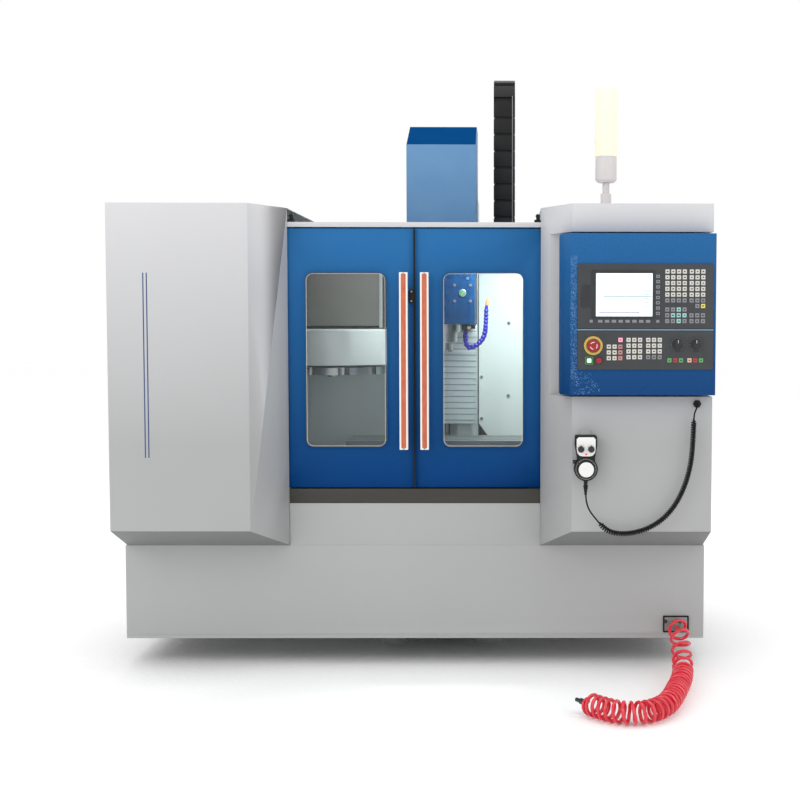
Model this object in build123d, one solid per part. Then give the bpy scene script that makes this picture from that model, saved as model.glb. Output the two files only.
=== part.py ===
from build123d import *
from math import cos, degrees, pi, radians, sin, tan
import os

# Vertical machining centre with a sheet-metal enclosure. Millimetres, +Z up, the doors face -Y.
# The origin lies on the floor under the middle of the machine.

# Overall size
HALF_WIDTH = 950.0
FRONT_Y = -695.0
REAR_Y = 780.0
DOOR_SETBACK = 187.0
FOOT_HEIGHT = 90.0
BASE_TOP = 401.0
CABINET_BOTTOM = 476.0
CABINET_TOP = 1509.0
ENCLOSURE_REAR_Y = 470.0
SHEET = 4.0
GAP = 0.3

# Doorway
OPENING_HALF = 413.0
ANGLE_HALF = 508.0
SILL_BOTTOM = 541.0
DOOR_BOTTOM = 592.0
DOOR_TOP = 1443.0
RAIL_HEIGHT = 16.0
RAIL_LIFT = 4.0
RAIL_LIP = 3.0
DOOR_THICK = 32.0
DOOR_TUCK = 22.0
DOOR_GAP = 8.0
WINDOW_LOW_X = 92.0
WINDOW_HIGH_X = 357.0
WINDOW_LOW_Z = 727.0
WINDOW_HIGH_Z = 1299.0
WINDOW_RADIUS = 25.0
PANE_THICK = 6.0
PANE_LAP = 14.0
HANDLE_INNER_X = 20.0
HANDLE_WIDTH = 28.0
HANDLE_DEPTH = 42.0
SHOE_HEIGHT = 8.0

# Spindle, column and axes
SPINDLE_X = 70.0
SPINDLE_Y = -10.0
NOSE_Z = 1036.0
HEAD_BOTTOM = 1129.0
HEAD_FRONT_Y = -140.0
HEAD_TOP = 1480.0
COVER_HALF = 122.0
HEAD_HALF = COVER_HALF - SHEET - GAP
COVER_FRONT_TOP = 1760.0
COVER_TOP = 1846.0
COLUMN_HALF = 122.0
COLUMN_FRONT_Y = 245.0
COLUMN_DEPTH = 210.0
COLUMN_TOP = 1600.0
COLUMN_WALL = 22.0
RAIL_WIDTH = 26.0
RAIL_DEPTH = 24.0
COLUMN_RAIL_X = 78.0
BED_HALF = 230.0
BED_FRONT_Y = -420.0
BED_TOP = 512.0
BED_RAIL_X = 150.0
TABLE_TOP = 715.0
TABLE_THICK = 76.0
TABLE_HALF = 340.0
TABLE_WIDTH = 240.0
TABLE_RAIL_Y = 78.0
SADDLE_HALF = 200.0
SADDLE_LENGTH = 250.0
SADDLE_Y = -30.0
SLOT_WIDTH = 14.0
SLOT_DEPTH = 26.0
SLOT_SPACING = 70.0
SLOT_FOOT = 24.0
SCREW_RADIUS = 12.5
SCREW_CLEARANCE = 0.1

# Tool magazine
MAGAZINE_X = -330.0
DISC_RADIUS = 190.0
DISC_Z = 950.0
DISC_THICK = 26.0
STATIONS = 10
HAT_RADIUS = 225.0
HAT_LOW_Z = 985.0
HAT_HIGH_Z = 1112.0

# Control box
BOX_WIDTH = 480.0
BOX_BEVEL = 29.0
BOX_RIGHT = HALF_WIDTH
BOX_LEFT = BOX_RIGHT - BOX_WIDTH
BOX_LOW_Z = 912.0
BOX_HIGH_Z = 1413.0
BOX_FRONT_Y = -755.0
BOX_BACK_Y = -605.0
NICHE_MARGIN = 8.0
NICHE_BACK_Y = -560.0
PANEL_LEFT = BOX_LEFT + 51.0
PANEL_RIGHT = BOX_RIGHT - 9.0
UPPER_LOW_Z = 1118.0
UPPER_HIGH_Z = 1318.0
LOWER_LOW_Z = 992.0
LOWER_HIGH_Z = 1112.0
PANEL_THICK = 6.0
BUTTON_TRAVEL = 3.0
STOP_TRAVEL = 6.0

# Worked-out places
OPENING_Y = FRONT_Y + DOOR_SETBACK
DOOR_FRONT_Y = OPENING_Y + DOOR_GAP
DOOR_BACK_Y = DOOR_FRONT_Y + DOOR_THICK
BED_REAR_Y = COLUMN_FRONT_Y + COLUMN_DEPTH
SPINE_FACE_Y = COLUMN_FRONT_Y - RAIL_DEPTH
PANEL_Y = BOX_FRONT_Y - PANEL_THICK


def block(x0, x1, y0, y1, z0, z1):
    """A box between two corners."""
    size = (abs(x1 - x0), abs(y1 - y0), abs(z1 - z0))
    return Pos((x0 + x1) / 2, (y0 + y1) / 2, (z0 + z1) / 2) * Box(*size)


def rod_x(radius, x0, x1, y, z):
    return Pos((x0 + x1) / 2, y, z) * Rot(0, 90, 0) * Cylinder(radius, abs(x1 - x0))


def rod_y(radius, x, y0, y1, z):
    return Pos(x, (y0 + y1) / 2, z) * Rot(90, 0, 0) * Cylinder(radius, abs(y1 - y0))


def rod_z(radius, x, y, z0, z1):
    return Pos(x, y, (z0 + z1) / 2) * Cylinder(radius, abs(z1 - z0))


def prism_z(points, z0, z1):
    """A plan outline raised from z0 to z1."""
    return Pos(0, 0, z0) * extrude(make_face(Polyline(*points, close=True)), z1 - z0)


def prism_x(points, x0, x1):
    """A side outline in (y, z), drawn across from x0 to x1."""
    face = make_face(Polyline(*[(x0, y, z) for y, z in points], close=True))
    return extrude(face, x1 - x0, dir=(1, 0, 0))


def prism_y(points, y0, y1):
    """A front outline in (x, z), drawn back from y0 to y1."""
    face = make_face(Polyline(*[(x, y0, z) for x, z in points], close=True))
    return extrude(face, y1 - y0, dir=(0, 1, 0))


def rounded_y(x0, x1, z0, z1, radius, y0, y1):
    """A block along Y with its four long edges rounded."""
    body = block(x0, x1, y0, y1, z0, z1)
    return fillet(body.edges().filter_by(Axis.Y), radius)


def flip(shape, side):
    """The shape as drawn for the right side, or its mirror image for the left."""
    return shape if side > 0 else mirror(shape, about=Plane.YZ)


def save(name, *shapes):
    solids = [solid for shape in shapes for solid in shape.solids()]
    body = solids[0] if len(solids) == 1 else Compound(solids)
    body.label = name
    export_step(body, f"parts/{name}.step")


# Base: a skirt round the bed casting, which stands on levelling feet
BASE_FRONT_Y = OPENING_Y
BASE_HALF = HALF_WIDTH + 6
LIP = 14.0
WELL_MARGIN = GAP
FOOT_RADIUS = 45.0
FOOT_INSET = 250.0
PORT_X = HALF_WIDTH - 86.0
PORT_Z = 138.0
PORT_HALF_X = 43.0
PORT_HALF_Z = 28.0


def base_skirt():
    outer = block(-BASE_HALF, BASE_HALF, BASE_FRONT_Y, ENCLOSURE_REAR_Y, FOOT_HEIGHT, BASE_TOP)
    inner = block(-BASE_HALF + SHEET, BASE_HALF - SHEET, BASE_FRONT_Y + SHEET,
                  ENCLOSURE_REAR_Y - SHEET, FOOT_HEIGHT - 1, BASE_TOP - SHEET)
    well = block(SPINDLE_X - BED_HALF - WELL_MARGIN, SPINDLE_X + BED_HALF + WELL_MARGIN,
                 BED_FRONT_Y - WELL_MARGIN, BED_REAR_Y + WELL_MARGIN, BASE_TOP - 2 * SHEET, BASE_TOP + 1)
    lip_cut = block(-BASE_HALF - 1, BASE_HALF + 1, BASE_FRONT_Y - 1, BASE_FRONT_Y + SHEET / 2,
                    FOOT_HEIGHT - 1, FOOT_HEIGHT + LIP)
    port = block(PORT_X - PORT_HALF_X + 8, PORT_X + PORT_HALF_X - 8, BASE_FRONT_Y - 1,
                 BASE_FRONT_Y + SHEET + 1, PORT_Z - PORT_HALF_Z + 8, PORT_Z + PORT_HALF_Z - 8)
    return outer - inner - well - lip_cut - port


def levelling_feet():
    """Each foot is a round pad with a threaded stud and a lock nut under the bed or a bracket."""
    feet = []
    for x in (SPINDLE_X - BED_HALF + 60, SPINDLE_X + BED_HALF - 60):
        for y in (BED_FRONT_Y + FOOT_INSET, BED_REAR_Y - 60):
            pad = Pos(x, y, 0) * Cone(FOOT_RADIUS, FOOT_RADIUS * 0.7, 24,
                                      align=(Align.CENTER, Align.CENTER, Align.MIN))
            nut = Pos(x, y, 55) * extrude(RegularPolygon(19, 6), 16)
            feet.append(pad + rod_z(11, x, y, 20, FOOT_HEIGHT) + nut)
    return Compound(feet)


Y_SCREW_Z = BED_TOP - 30
Y_SCREW_FRONT = BED_FRONT_Y - 4
Y_SCREW_REAR = COLUMN_FRONT_Y + 8
TROUGH_HALF = BED_RAIL_X - 40


def bed_casting():
    """Cast bed: a box section with a trough for the Y screw between its two rail lands."""
    x0 = SPINDLE_X - BED_HALF
    x1 = SPINDLE_X + BED_HALF
    body = block(x0, x1, BED_FRONT_Y, BED_REAR_Y, FOOT_HEIGHT, BED_TOP)
    trough = block(SPINDLE_X - TROUGH_HALF, SPINDLE_X + TROUGH_HALF, BED_FRONT_Y + 30,
                   COLUMN_FRONT_Y - 20, BED_TOP - 60, BED_TOP + 1)
    underside = block(x0 + 110, x1 - 110, BED_FRONT_Y + 130, BED_REAR_Y - 130, FOOT_HEIGHT - 1,
                      BED_TOP - 90)
    bore = rod_y(SCREW_RADIUS + SCREW_CLEARANCE, SPINDLE_X, BED_FRONT_Y - 1, Y_SCREW_REAR + 1, Y_SCREW_Z)
    return body - trough - underside - bore


RAIL_Z = BED_TOP + RAIL_DEPTH


def bed_rails():
    y0 = BED_FRONT_Y + 10
    y1 = COLUMN_FRONT_Y - 40
    rails = []
    for side in (-1, 1):
        x = SPINDLE_X + side * BED_RAIL_X
        rails.append(block(x - RAIL_WIDTH / 2, x + RAIL_WIDTH / 2, y0, y1, BED_TOP, RAIL_Z))
    return Compound(rails)


# Cabinets: folded sheet left and right of the doorway, open towards the chamber


def cabinet(side):
    """One side cabinet. The right one also has the niche that the control box sits in."""
    t = SHEET
    outline = [(OPENING_HALF, OPENING_Y), (ANGLE_HALF, FRONT_Y), (HALF_WIDTH, FRONT_Y),
               (HALF_WIDTH, ENCLOSURE_REAR_Y), (OPENING_HALF, ENCLOSURE_REAR_Y)]
    inside = [(OPENING_HALF - 1, OPENING_Y), (OPENING_HALF + t, OPENING_Y),
              (ANGLE_HALF + t / 2, FRONT_Y + t), (HALF_WIDTH - t, FRONT_Y + t),
              (HALF_WIDTH - t, ENCLOSURE_REAR_Y - t), (OPENING_HALF - 1, ENCLOSURE_REAR_Y - t)]
    below = prism_x([(FRONT_Y - 1, BASE_TOP - 1), (OPENING_Y, BASE_TOP - 1), (OPENING_Y, BASE_TOP),
                     (FRONT_Y, CABINET_BOTTOM), (FRONT_Y - 1, CABINET_BOTTOM)],
                    OPENING_HALF - 2, HALF_WIDTH + 1)
    keep = prism_x([(FRONT_Y - 1, CABINET_BOTTOM + t), (OPENING_Y, BASE_TOP + t),
                    (ENCLOSURE_REAR_Y, BASE_TOP + t), (ENCLOSURE_REAR_Y, CABINET_TOP - t),
                    (FRONT_Y - 1, CABINET_TOP - t)], OPENING_HALF - 2, HALF_WIDTH + 1)
    shell = prism_z(outline, BASE_TOP, CABINET_TOP) - (prism_z(inside, BASE_TOP, CABINET_TOP) & keep)
    shell = shell - below
    if side > 0:
        low = BOX_LOW_Z - NICHE_MARGIN
        high = BOX_HIGH_Z + NICHE_MARGIN
        span = OPENING_Y - FRONT_Y
        left = OPENING_HALF + (ANGLE_HALF - OPENING_HALF) * (OPENING_Y - NICHE_BACK_Y) / span
        niche = [(left, NICHE_BACK_Y), (left, FRONT_Y - 1), (HALF_WIDTH + 1, FRONT_Y - 1),
                 (HALF_WIDTH + 1, NICHE_BACK_Y)]
        wall = [(left - 1, NICHE_BACK_Y + t), (left, NICHE_BACK_Y), (ANGLE_HALF, FRONT_Y),
                (HALF_WIDTH, FRONT_Y), (HALF_WIDTH, NICHE_BACK_Y + t)]
        shell = shell + prism_z(wall, low - t, high + t) - prism_z(niche, low, high)
    else:
        shell = mirror(shell, about=Plane.YZ)
    return shell


def lower_front_panel():
    face = block(-OPENING_HALF + GAP, OPENING_HALF - GAP, OPENING_Y, OPENING_Y + SHEET, BASE_TOP,
                 SILL_BOTTOM)
    shelf = block(-OPENING_HALF + GAP, OPENING_HALF - GAP, OPENING_Y + SHEET, BED_FRONT_Y - 12,
                  SILL_BOTTOM - SHEET, SILL_BOTTOM)
    return face + shelf


def door_sill():
    """Brushed channel under the doors, with a groove that the door's lower guide runs in."""
    y1 = DOOR_BACK_Y + 14
    x = OPENING_HALF - GAP
    body = block(-x, x, OPENING_Y, y1, SILL_BOTTOM, DOOR_BOTTOM - 3)
    groove = block(-x - 1, x + 1, DOOR_FRONT_Y + 10, DOOR_BACK_Y - 10, DOOR_BOTTOM - 16, DOOR_BOTTOM)
    return body - groove


RAIL_REACH = HALF_WIDTH - 60


def door_rail():
    """Inverted channel over the doors that the rollers hang in, held by the cabinets' tops."""
    z0 = DOOR_TOP + RAIL_LIFT
    z1 = z0 + RAIL_HEIGHT
    y0 = OPENING_Y + 2
    y1 = DOOR_BACK_Y + 6
    body = block(-RAIL_REACH, RAIL_REACH, y0, y1, z0, z1)
    track = block(-RAIL_REACH - 1, RAIL_REACH + 1, y0 + SHEET, y1 - SHEET,
                  z0 + RAIL_LIP, z1 - SHEET)
    slot = block(-RAIL_REACH - 1, RAIL_REACH + 1, DOOR_FRONT_Y + 9, DOOR_BACK_Y - 9, z0 - 1,
                 z0 + RAIL_LIP + 1)
    hangers = [block(side * (RAIL_REACH - 60), side * (RAIL_REACH - 10), y0, y1, z1,
                     CABINET_TOP - SHEET) for side in (-1, 1)]
    return body - track - slot + hangers


# Doors: folded skins with a window, a pull handle and two sliding shoes in the rail
SHOE_WIDTH = 60.0


def door(side):
    x1 = OPENING_HALF + DOOR_TUCK
    skin = block(GAP * 2, x1, DOOR_FRONT_Y, DOOR_BACK_Y, DOOR_BOTTOM, DOOR_TOP)
    hollow = block(GAP * 2 + SHEET, x1 - SHEET, DOOR_FRONT_Y + SHEET, DOOR_BACK_Y + 1,
                   DOOR_BOTTOM + SHEET, DOOR_TOP - SHEET)
    window = rounded_y(WINDOW_LOW_X, WINDOW_HIGH_X, WINDOW_LOW_Z, WINDOW_HIGH_Z, WINDOW_RADIUS,
                       DOOR_FRONT_Y - 1, DOOR_FRONT_Y + SHEET + 1)
    guide = block(60, x1 - 60, DOOR_FRONT_Y + 13, DOOR_BACK_Y - 13, DOOR_BOTTOM - 10, DOOR_BOTTOM)
    return flip(skin - hollow - window + guide, side)


def window_pane(side):
    y0 = DOOR_FRONT_Y + SHEET
    pane = rounded_y(WINDOW_LOW_X - PANE_LAP, WINDOW_HIGH_X + PANE_LAP, WINDOW_LOW_Z - PANE_LAP,
                     WINDOW_HIGH_Z + PANE_LAP, WINDOW_RADIUS + PANE_LAP, y0, y0 + PANE_THICK)
    return flip(pane, side)


HANDLE_LOW_Z = WINDOW_LOW_Z - 6
HANDLE_HIGH_Z = WINDOW_HIGH_Z
HANDLE_RECESS = 10.0


def door_handle(side):
    """Full-height pull: a moulded channel bar on two feet, with a recessed centre strip."""
    x0 = HANDLE_INNER_X
    x1 = x0 + HANDLE_WIDTH
    y0 = DOOR_FRONT_Y - HANDLE_DEPTH
    bar = block(x0, x1, y0, y0 + HANDLE_RECESS + 6, HANDLE_LOW_Z, HANDLE_HIGH_Z)
    bar = fillet(bar.edges().filter_by(Axis.Z), 3)
    feet = [block(x0 + 4, x1 - 4, y0 + HANDLE_RECESS, DOOR_FRONT_Y, z, z + 46)
            for z in (HANDLE_LOW_Z + 40, HANDLE_HIGH_Z - 86)]
    groove = block(x0 + 8, x1 - 8, y0 - 1, y0 + 3, HANDLE_LOW_Z + 4, HANDLE_HIGH_Z - 4)
    return flip(bar - groove + feet, side)


def door_shoes(side):
    """Two hanger plates through the rail's slot, each with a nylon shoe on the rail's lips."""
    lip_z = DOOR_TOP + RAIL_LIFT + RAIL_LIP
    mid_y = (DOOR_FRONT_Y + DOOR_BACK_Y) / 2
    shoes = []
    for x in (70, OPENING_HALF + DOOR_TUCK - 70):
        plate = block(x - SHOE_WIDTH / 2, x + SHOE_WIDTH / 2, mid_y - 3, mid_y + 3, DOOR_TOP,
                      lip_z + SHOE_HEIGHT)
        shoe = block(x - SHOE_WIDTH / 2, x + SHOE_WIDTH / 2, mid_y - 16, mid_y + 13, lip_z + GAP,
                     lip_z + SHOE_HEIGHT)
        shoes.append(plate + shoe)
    return flip(Compound(shoes), side)


def door_lock():
    body = block(-18, -1, DOOR_FRONT_Y - 14, DOOR_FRONT_Y, 1200, 1243)
    return fillet(body.edges().filter_by(Axis.Y), 3)


# Chamber walls behind the table
WALL_Y = 215.0
WALL_TOP = 1495.0
WALL_BOTTOM = BASE_TOP + SHEET
COLUMN_MARGIN = 3.0
SLANT_LOW = (330.0, 566.0)
SLANT_HIGH_Z = 749.0
SPINE_GATE = COVER_HALF + COLUMN_MARGIN


def rear_wall_right():
    x0 = SPINDLE_X + SPINE_GATE
    x1 = HALF_WIDTH - SHEET
    outline = [(x0, WALL_TOP), (x1, WALL_TOP), (x1, WALL_BOTTOM), (SLANT_LOW[0], WALL_BOTTOM),
               SLANT_LOW, (x0, SLANT_HIGH_Z)]
    return prism_y(outline, WALL_Y, WALL_Y + SHEET)


def rear_wall_left():
    x0 = -HALF_WIDTH + SHEET
    x1 = SPINDLE_X - SPINE_GATE
    low_x = 2 * SPINDLE_X - SLANT_LOW[0]
    outline = [(x0, WALL_TOP), (x1, WALL_TOP), (x1, SLANT_HIGH_Z), (low_x, SLANT_LOW[1]),
               (low_x, WALL_BOTTOM), (x0, WALL_BOTTOM)]
    return prism_y(outline, WALL_Y, WALL_Y + SHEET)


# Column, its rails, screw and servo
CHANNEL_HALF = 42.0
CHANNEL_DEPTH = 56.0
Z_SCREW_Y = COLUMN_FRONT_Y + 26
Z_SCREW_LOW = 640.0


def column():
    """Cast column: a hollow box with rail lands in front and a channel for the Z screw."""
    x0 = SPINDLE_X - COLUMN_HALF
    x1 = SPINDLE_X + COLUMN_HALF
    y1 = COLUMN_FRONT_Y + COLUMN_DEPTH
    body = block(x0, x1, COLUMN_FRONT_Y, y1, BED_TOP, COLUMN_TOP)
    channel = block(SPINDLE_X - CHANNEL_HALF, SPINDLE_X + CHANNEL_HALF, COLUMN_FRONT_Y - 1,
                    COLUMN_FRONT_Y + CHANNEL_DEPTH, Z_SCREW_LOW + 30, COLUMN_TOP - 30)
    core = block(x0 + COLUMN_WALL, x1 - COLUMN_WALL, COLUMN_FRONT_Y + CHANNEL_DEPTH + COLUMN_WALL,
                 y1 - COLUMN_WALL, BED_TOP + 60, COLUMN_TOP - 60)
    bore = rod_z(SCREW_RADIUS + SCREW_CLEARANCE, SPINDLE_X, Z_SCREW_Y, Z_SCREW_LOW - 1, COLUMN_TOP + 1)
    flange = block(SPINDLE_X - BED_HALF + 20, SPINDLE_X + BED_HALF - 20, COLUMN_FRONT_Y + 20, y1,
                   BED_TOP, BED_TOP + 36)
    return body + flange - channel - core - bore


def column_rails():
    rails = []
    for side in (-1, 1):
        x = SPINDLE_X + side * COLUMN_RAIL_X
        rails.append(block(x - RAIL_WIDTH / 2, x + RAIL_WIDTH / 2, SPINE_FACE_Y, COLUMN_FRONT_Y, 760,
                           COLUMN_TOP - 10))
    return Compound(rails)


def z_screw():
    return rod_z(SCREW_RADIUS, SPINDLE_X, Z_SCREW_Y, Z_SCREW_LOW, COLUMN_TOP + 24)


SERVO_HALF = 48.0


def servo_body(half, length):
    """A servo motor standing on its flange at z = 0: square flange, finned can and end cap."""
    flange = Pos(0, 0, 6) * Box(2 * half, 2 * half, 12)
    can = Pos(0, 0, 12 + length / 2) * Box(2 * half - 10, 2 * half - 10, length)
    can = fillet(can.edges().filter_by(Axis.Z), 8)
    cap = Pos(0, 0, 12 + length + 14) * Cylinder(half - 10, 28)
    plug = Pos(0, half - 2, 12 + length - 14) * Box(24, 14, 20)
    return flange + can + cap + plug


def z_servo():
    """The servo stands on a ring over the screw's top end."""
    ring = rod_z(SERVO_HALF, SPINDLE_X, Z_SCREW_Y, COLUMN_TOP, COLUMN_TOP + 40)
    ring -= rod_z(SERVO_HALF - 14, SPINDLE_X, Z_SCREW_Y, COLUMN_TOP - 1, COLUMN_TOP + 28)
    return ring + Pos(SPINDLE_X, Z_SCREW_Y, COLUMN_TOP + 40) * servo_body(SERVO_HALF, 110)


# Head: casting, sheet cover, spindle cartridge and shaft, belt drive
HEAD_BACK_Y = SPINE_FACE_Y - 6
BLOCK_LENGTH = 90.0
CARTRIDGE_RADIUS = 62.0
CARTRIDGE_LOW = NOSE_Z + 22
CARTRIDGE_BORE = 35.0
SHAFT_CLEARANCE = 0.05
NUT_HALF_X = 32.0
NUT_LOW_Z = 1240.0
NUT_HIGH_Z = 1330.0


def head_casting():
    """Blue cast head: a deep box that narrows to the spindle, on four carriage blocks."""
    x0 = SPINDLE_X - HEAD_HALF
    x1 = SPINDLE_X + HEAD_HALF
    side = [(HEAD_FRONT_Y, HEAD_BOTTOM), (HEAD_BACK_Y, HEAD_BOTTOM), (HEAD_BACK_Y, HEAD_TOP),
            (HEAD_FRONT_Y, HEAD_TOP)]
    body = prism_x(side, x0, x1)
    body = fillet(body.edges().filter_by(Axis.Z).sort_by(Axis.Y)[:2], 18)
    well = block(x0 + 24, x1 - 24, HEAD_FRONT_Y + 24, SPINDLE_Y - CARTRIDGE_RADIUS - 6, HEAD_BOTTOM + 90,
                 HEAD_TOP + 1)
    body = body - well
    for sx in (-1, 1):
        rail_x = SPINDLE_X + sx * COLUMN_RAIL_X
        for z in (HEAD_BOTTOM + 12, HEAD_TOP - 12 - BLOCK_LENGTH):
            wrap = block(rail_x - 32, rail_x + 32, HEAD_BACK_Y, COLUMN_FRONT_Y - 5, z, z + BLOCK_LENGTH)
            groove = block(rail_x - RAIL_WIDTH / 2 - GAP, rail_x + RAIL_WIDTH / 2 + GAP,
                           SPINE_FACE_Y - GAP, COLUMN_FRONT_Y, z - 1, z + BLOCK_LENGTH + 1)
            body = body + (wrap - groove)
    nut = block(SPINDLE_X - NUT_HALF_X, SPINDLE_X + NUT_HALF_X, HEAD_BACK_Y - 1, Z_SCREW_Y + 24,
                NUT_LOW_Z, NUT_HIGH_Z)
    nut -= rod_z(SCREW_RADIUS + SCREW_CLEARANCE, SPINDLE_X, Z_SCREW_Y, NUT_LOW_Z - 1, NUT_HIGH_Z + 1)
    seat = rod_z(CARTRIDGE_RADIUS - 12, SPINDLE_X, SPINDLE_Y, HEAD_BOTTOM - 1, HEAD_TOP + 1)
    return body + nut - seat


def spindle_cartridge():
    """Flanged sleeve that carries the spindle bearings, bolted up into the head."""
    x, y = SPINDLE_X, SPINDLE_Y
    sleeve = rod_z(CARTRIDGE_RADIUS - 12, x, y, HEAD_BOTTOM, HEAD_TOP - 20)
    nose = rod_z(CARTRIDGE_RADIUS - 10, x, y, CARTRIDGE_LOW, HEAD_BOTTOM - 30)
    flange = rod_z(CARTRIDGE_RADIUS, x, y, HEAD_BOTTOM - 30, HEAD_BOTTOM)
    nose = chamfer(nose.edges().sort_by(Axis.Z)[0], 8)
    bore = rod_z(CARTRIDGE_BORE, x, y, CARTRIDGE_LOW - 1, HEAD_TOP)
    return sleeve + nose + flange - bore


TAPER_MOUTH = 15.875
TAPER_LENGTH = 48.4
TAPER_SMALL = TAPER_MOUTH - TAPER_LENGTH * 7 / 48
BAR_BORE = 6.5
PULLEY_Z = HEAD_TOP + 26
PULLEY_WIDTH = 26.0
PULLEY_RADIUS = 34.0


def spindle_shaft():
    """Spindle with a steep-taper mouth, two drive keys and the driven pulley on top."""
    x, y = SPINDLE_X, SPINDLE_Y
    shaft = rod_z(CARTRIDGE_BORE - SHAFT_CLEARANCE, x, y, NOSE_Z, HEAD_TOP - 10)
    shaft += rod_z(22, x, y, HEAD_TOP - 10, PULLEY_Z + PULLEY_WIDTH + 8)
    shaft += rod_z(PULLEY_RADIUS, x, y, PULLEY_Z, PULLEY_Z + PULLEY_WIDTH)
    taper = Pos(x, y, NOSE_Z) * Cone(TAPER_MOUTH, TAPER_SMALL, TAPER_LENGTH,
                                     align=(Align.CENTER, Align.CENTER, Align.MIN))
    bar = rod_z(BAR_BORE, x, y, NOSE_Z + 1, PULLEY_Z + PULLEY_WIDTH + 9)
    keys = block(x - 33, x - 18, y - 8, y + 8, NOSE_Z - 8, NOSE_Z)
    keys += block(x + 18, x + 33, y - 8, y + 8, NOSE_Z - 8, NOSE_Z)
    return shaft - taper - bar + keys


MOTOR_Y = 120.0
MOTOR_HALF = 62.0
MOUNT_TOP = PULLEY_Z + PULLEY_WIDTH + 30


def motor_mount():
    """Bridge on the head's top that lifts the spindle motor over the belt."""
    x0 = SPINDLE_X - MOTOR_HALF - 12
    x1 = SPINDLE_X + MOTOR_HALF + 12
    plate = block(x0, x1, MOTOR_Y - MOTOR_HALF, MOTOR_Y + MOTOR_HALF, MOUNT_TOP - 14, MOUNT_TOP)
    legs = [block(x, x + 14, MOTOR_Y - MOTOR_HALF, MOTOR_Y + MOTOR_HALF, HEAD_TOP, MOUNT_TOP - 14)
            for x in (x0, x1 - 14)]
    hole = rod_z(22, SPINDLE_X, MOTOR_Y, MOUNT_TOP - 15, MOUNT_TOP + 1)
    return plate + legs - hole


def spindle_motor():
    return Pos(SPINDLE_X, MOTOR_Y, MOUNT_TOP) * servo_body(MOTOR_HALF, 130)


def motor_pulley():
    pulley = rod_z(PULLEY_RADIUS, SPINDLE_X, MOTOR_Y, PULLEY_Z, PULLEY_Z + PULLEY_WIDTH)
    return pulley + rod_z(14, SPINDLE_X, MOTOR_Y, PULLEY_Z - 8, MOUNT_TOP - GAP)


def drive_belt():
    """Toothed belt round both pulleys, drawn as a band just clear of their rims."""
    half = PULLEY_RADIUS + GAP
    z0 = PULLEY_Z + 2
    z1 = PULLEY_Z + PULLEY_WIDTH - 2
    outer = (rod_z(half + 5, SPINDLE_X, SPINDLE_Y, z0, z1) + rod_z(half + 5, SPINDLE_X, MOTOR_Y, z0, z1)
             + block(SPINDLE_X - half - 5, SPINDLE_X + half + 5, SPINDLE_Y, MOTOR_Y, z0, z1))
    inner = (rod_z(half, SPINDLE_X, SPINDLE_Y, z0 - 1, z1 + 1) + rod_z(half, SPINDLE_X, MOTOR_Y, z0 - 1,
             z1 + 1) + block(SPINDLE_X - half, SPINDLE_X + half, SPINDLE_Y, MOTOR_Y, z0 - 1, z1 + 1))
    return outer - inner


COVER_LOW = 1330.0
COVER_FRONT_Y = HEAD_FRONT_Y - GAP - SHEET
COVER_REAR_Y = HEAD_BACK_Y - 2
SLOPE_REAR_Y = 40.0


def head_cover():
    """Sheet cover over the head's upper half, with a sloping top; open below and behind."""
    side = [(COVER_FRONT_Y, COVER_LOW), (COVER_REAR_Y, COVER_LOW), (COVER_REAR_Y, COVER_TOP),
            (SLOPE_REAR_Y, COVER_TOP), (COVER_FRONT_Y, COVER_FRONT_TOP)]
    inside = [(COVER_FRONT_Y + SHEET, COVER_LOW - 1), (COVER_REAR_Y + 1, COVER_LOW - 1),
              (COVER_REAR_Y + 1, COVER_TOP - SHEET), (SLOPE_REAR_Y + 1, COVER_TOP - SHEET),
              (COVER_FRONT_Y + SHEET, COVER_FRONT_TOP - SHEET / 2)]
    outer = prism_x(side, SPINDLE_X - COVER_HALF, SPINDLE_X + COVER_HALF)
    return outer - prism_x(inside, SPINDLE_X - COVER_HALF + SHEET, SPINDLE_X + COVER_HALF - SHEET)


# Cross axes: bed screw and servo, saddle, table, table screw
SADDLE_LOW = RAIL_Z + GAP
TABLE_LOW = TABLE_TOP - TABLE_THICK
SADDLE_TOP = TABLE_LOW - GAP - RAIL_DEPTH
X_SCREW_RADIUS = 10.0
X_SCREW_Z = TABLE_LOW + 16
X_CHANNEL_HALF = 32.0
X_CHANNEL_DEPTH = 38.0
NUT_SIDE = 30.0


def y_screw():
    return rod_y(SCREW_RADIUS, SPINDLE_X, Y_SCREW_FRONT, Y_SCREW_REAR, Y_SCREW_Z)


def y_servo():
    """Flat servo under the sill, on the bed's front face."""
    y1 = BED_FRONT_Y
    body = block(SPINDLE_X - 46, SPINDLE_X + 46, y1 - 74, y1, Y_SCREW_Z - 44, Y_SCREW_Z + 44)
    body = fillet(body.edges().filter_by(Axis.Y), 8)
    return body - rod_y(SCREW_RADIUS + 4, SPINDLE_X, y1 - 12, y1 + 1, Y_SCREW_Z)


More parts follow.
